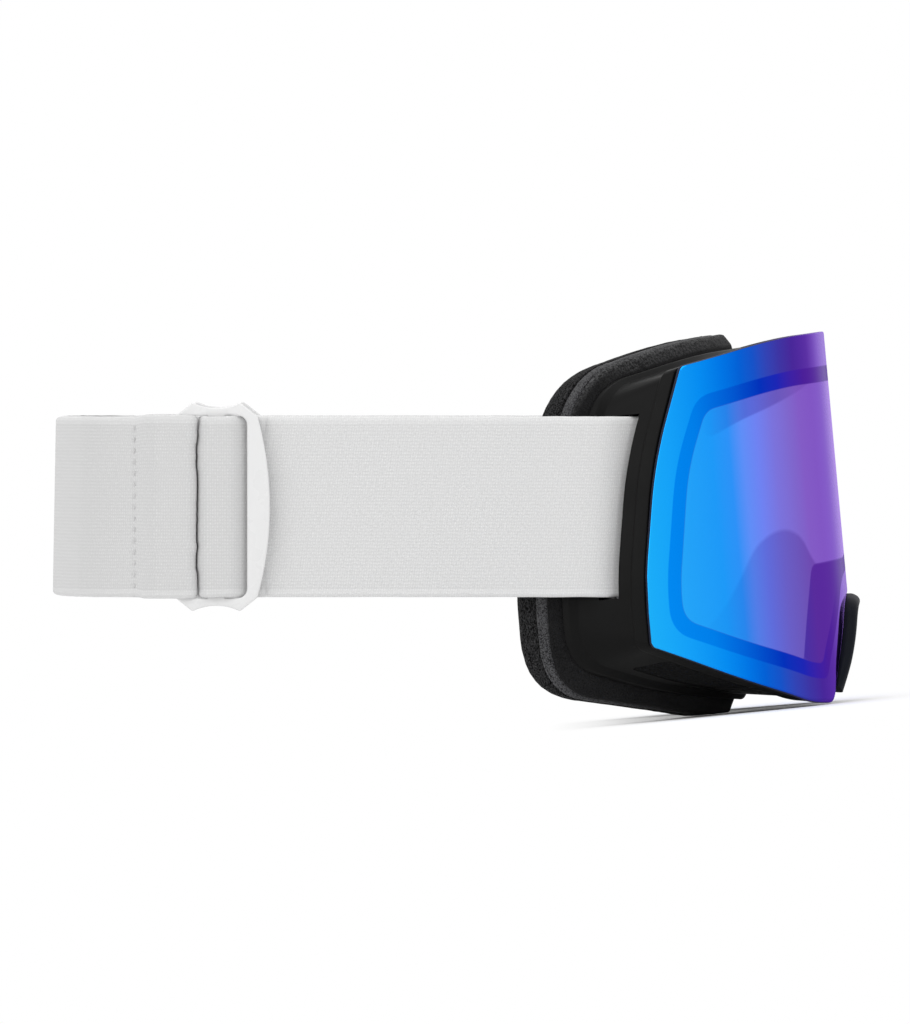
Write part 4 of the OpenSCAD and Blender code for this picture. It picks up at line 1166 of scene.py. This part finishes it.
def slide_edges():
    """Outer edge and the two windows, as lists of (along, across)."""
    side_r = bulge_r(STRAP_W / 2, SLIDE_BULGE)
    dip_r = bulge_r(EAR_HALF, EAR_DIP)
    quarter = [(SLIDE_HALF - side_r + sqrt(side_r ** 2 - b * b), b)
               for b in np.linspace(0, STRAP_W / 2, 16)]
    quarter.append((EAR_HALF + 0.25, SLIDE_H / 2 - 0.12))
    quarter += [(a, SLIDE_H / 2 - EAR_DIP + dip_r - sqrt(dip_r ** 2 - a * a))
                for a in np.linspace(EAR_HALF - 0.2, 0, 9)]
    top = quarter + [(-a, b) for a, b in quarter[-2::-1]]
    outer = top + [(a, -b) for a, b in top[-2:0:-1]]
    reach = STRAP_W / 2 + 0.15
    return [outer,
            soft_box(-BAR_HALF - WINDOW_FRONT, -BAR_HALF, -reach, reach, FAR_R, BAR_R),
            soft_box(BAR_HALF, BAR_HALF + WINDOW_REAR, -reach, reach, BAR_R, FAR_R)]


def plate(edges, thick, bevel):
    """Plate with holes and rounded edges, as a mesh in (along, across, up)."""
    curve = bpy.data.curves.new("plate", "CURVE")
    curve.dimensions, curve.fill_mode = "2D", "BOTH"
    curve.extrude, curve.bevel_depth, curve.bevel_resolution = thick / 2 - bevel, bevel, 3
    curve.offset = -bevel
    for line in edges:
        spline = curve.splines.new("POLY")
        spline.points.add(len(line) - 1)
        for pt, (a, b) in zip(spline.points, line):
            pt.co = (a, b, 0, 1)
        spline.use_cyclic_u = True
    ob = linked("plate", curve)
    mesh = evaluated(ob)
    bpy.data.objects.remove(ob)
    return np.array([v.co for v in mesh.vertices]), [tuple(p.vertices) for p in mesh.polygons]


pts, faces = plate(slide_edges(), SLIDE_T, 0.5)
slide = strap_point(STRAP_X + PLATE_X + SLIDE_T / 2 + pts[:, 2], SLIDE_S + pts[:, 0], pts[:, 1])
for side, turned in SIDES:
    outward(piece("slide_plate_" + side, turned(slide), faces, WHITE, "strap", "slide_plastic",
                  ["slide_" + side], 30), weld=1e-6)


# ---- kept solids
for node, mat in (("lens_carrier", CARRIER), ("lens_magnets", MAGNET),
                  ("frame_magnets", MAGNET), ("strap_anchor_left", STEEL),
                  ("strap_anchor_right", STEEL), ("strap_grip", SILICONE)):
    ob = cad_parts[node]
    ob.data.materials.clear()
    ob.data.materials.append(mat)


# ---- stage, light and camera
def floor_material():
    """Plain pale floor that keeps shadows near the object; further out a painted glow where the
    camera looks turns it white and rubs out the strap's shadow.
    """
    m = Mat("floor", Roughness=0.95, Specular_IOR_Level=0.0)
    m.colour(m.ramp(m.noise(m.coords(), 3.0), (0.0, 0.86), (1.0, 0.865)))
    # distance from the goggles, stretched into a long ellipse
    far = m.node("Mapping", {
        "Vector": m.coords(), "Location": (0, 0.077, 0), "Scale": (0.12, 1, 1)})
    far = m.node("VectorMath", {0: far}, operation="LENGTH").outputs["Value"]
    # painted light: the glow grows with distance from the goggles' feet and hides the shadows
    # there
    painted_glow = m.ramp(m.times(far, 4.0), (0.07, 0.0), (0.12, 0.3), (0.17, 0.75), (0.22, 1.0))
    m.surface(m.times(m.seen(), painted_glow), m.bsdf, m.node("Emission"))
    return m.mat


FLOOR_R, FLOOR_Z, FLOOR_SIDES = 1800, -0.2, 72
floor = linked("floor", mesh_of("floor", [
    (FLOOR_R * cos(a), FLOOR_R * sin(a), FLOOR_Z)
    for a in (2 * pi * k / FLOOR_SIDES for k in range(FLOOR_SIDES))],
    [tuple(range(FLOOR_SIDES))]))
floor.data.materials.append(floor_material())

world = bpy.data.worlds.new("studio")
bpy.context.scene.world = world
world.use_nodes = True
sky = Nodes(world.node_tree)
background = sky.tree.nodes["Background"].inputs
background["Color"].default_value = (1, 1, 1, 1)
sky.feed(background["Strength"], sky.node("MapRange", {
    "Value": sky.seen(), "To Min": 0.74, "To Max": 1.0}))


def area(name, at, size, power):
    """Round lamp that is turned towards the goggles."""
    lamp = bpy.data.lights.new(name, "AREA")
    lamp.shape, lamp.size, lamp.energy = "DISK", size, power
    ob = linked(name, lamp)
    ob.location = at
    ob.rotation_euler = (MIDDLE - ob.location).to_track_quat("-Z", "Y").to_euler()
    return ob


MIDDLE = Vector((0, 0, 0.05))
area("key", (-0.9, -0.9, 1.3), 1.5, 8.0)
area("fill", (-1.2, 0.9, 0.8), 1.5, 6.5)
area("top", (0.1, 0.1, 1.7), 1.4, 7.0)
area("back", (2.2, -0.35, 0.55), 1.2, 18.0).visible_glossy = False

camera = linked("camera", bpy.data.cameras.new("camera"))
bpy.context.scene.camera = camera
DISTANCE, SHOWN, NEAR, PITCH, SENSOR = 10.0, 0.28287, 0.07, radians(0.27), 36.0
camera.data.sensor_width = SENSOR
camera.data.lens = SENSOR * (DISTANCE - NEAR) / SHOWN
camera.data.clip_start, camera.data.clip_end = 0.1, 60
toward = Vector((cos(PITCH), 0, -sin(PITCH)))
level_right = toward.cross(Vector((0, 0, 1))).normalized()
level_up = level_right.cross(toward)
# the picture is turned by the strap's rise, which lays the strap level in it
right, up = level_right * COS - level_up * SIN, level_right * SIN + level_up * COS
aim = Vector((-NEAR, -0.00117, 0.06245))
seat = aim - toward * (DISTANCE - NEAR)
camera.matrix_world = Matrix([
    (right[i], up[i], -toward[i], seat[i]) for i in range(3)] + [(0, 0, 0, 1)])
bpy.context.scene.view_settings.view_transform = "Standard"
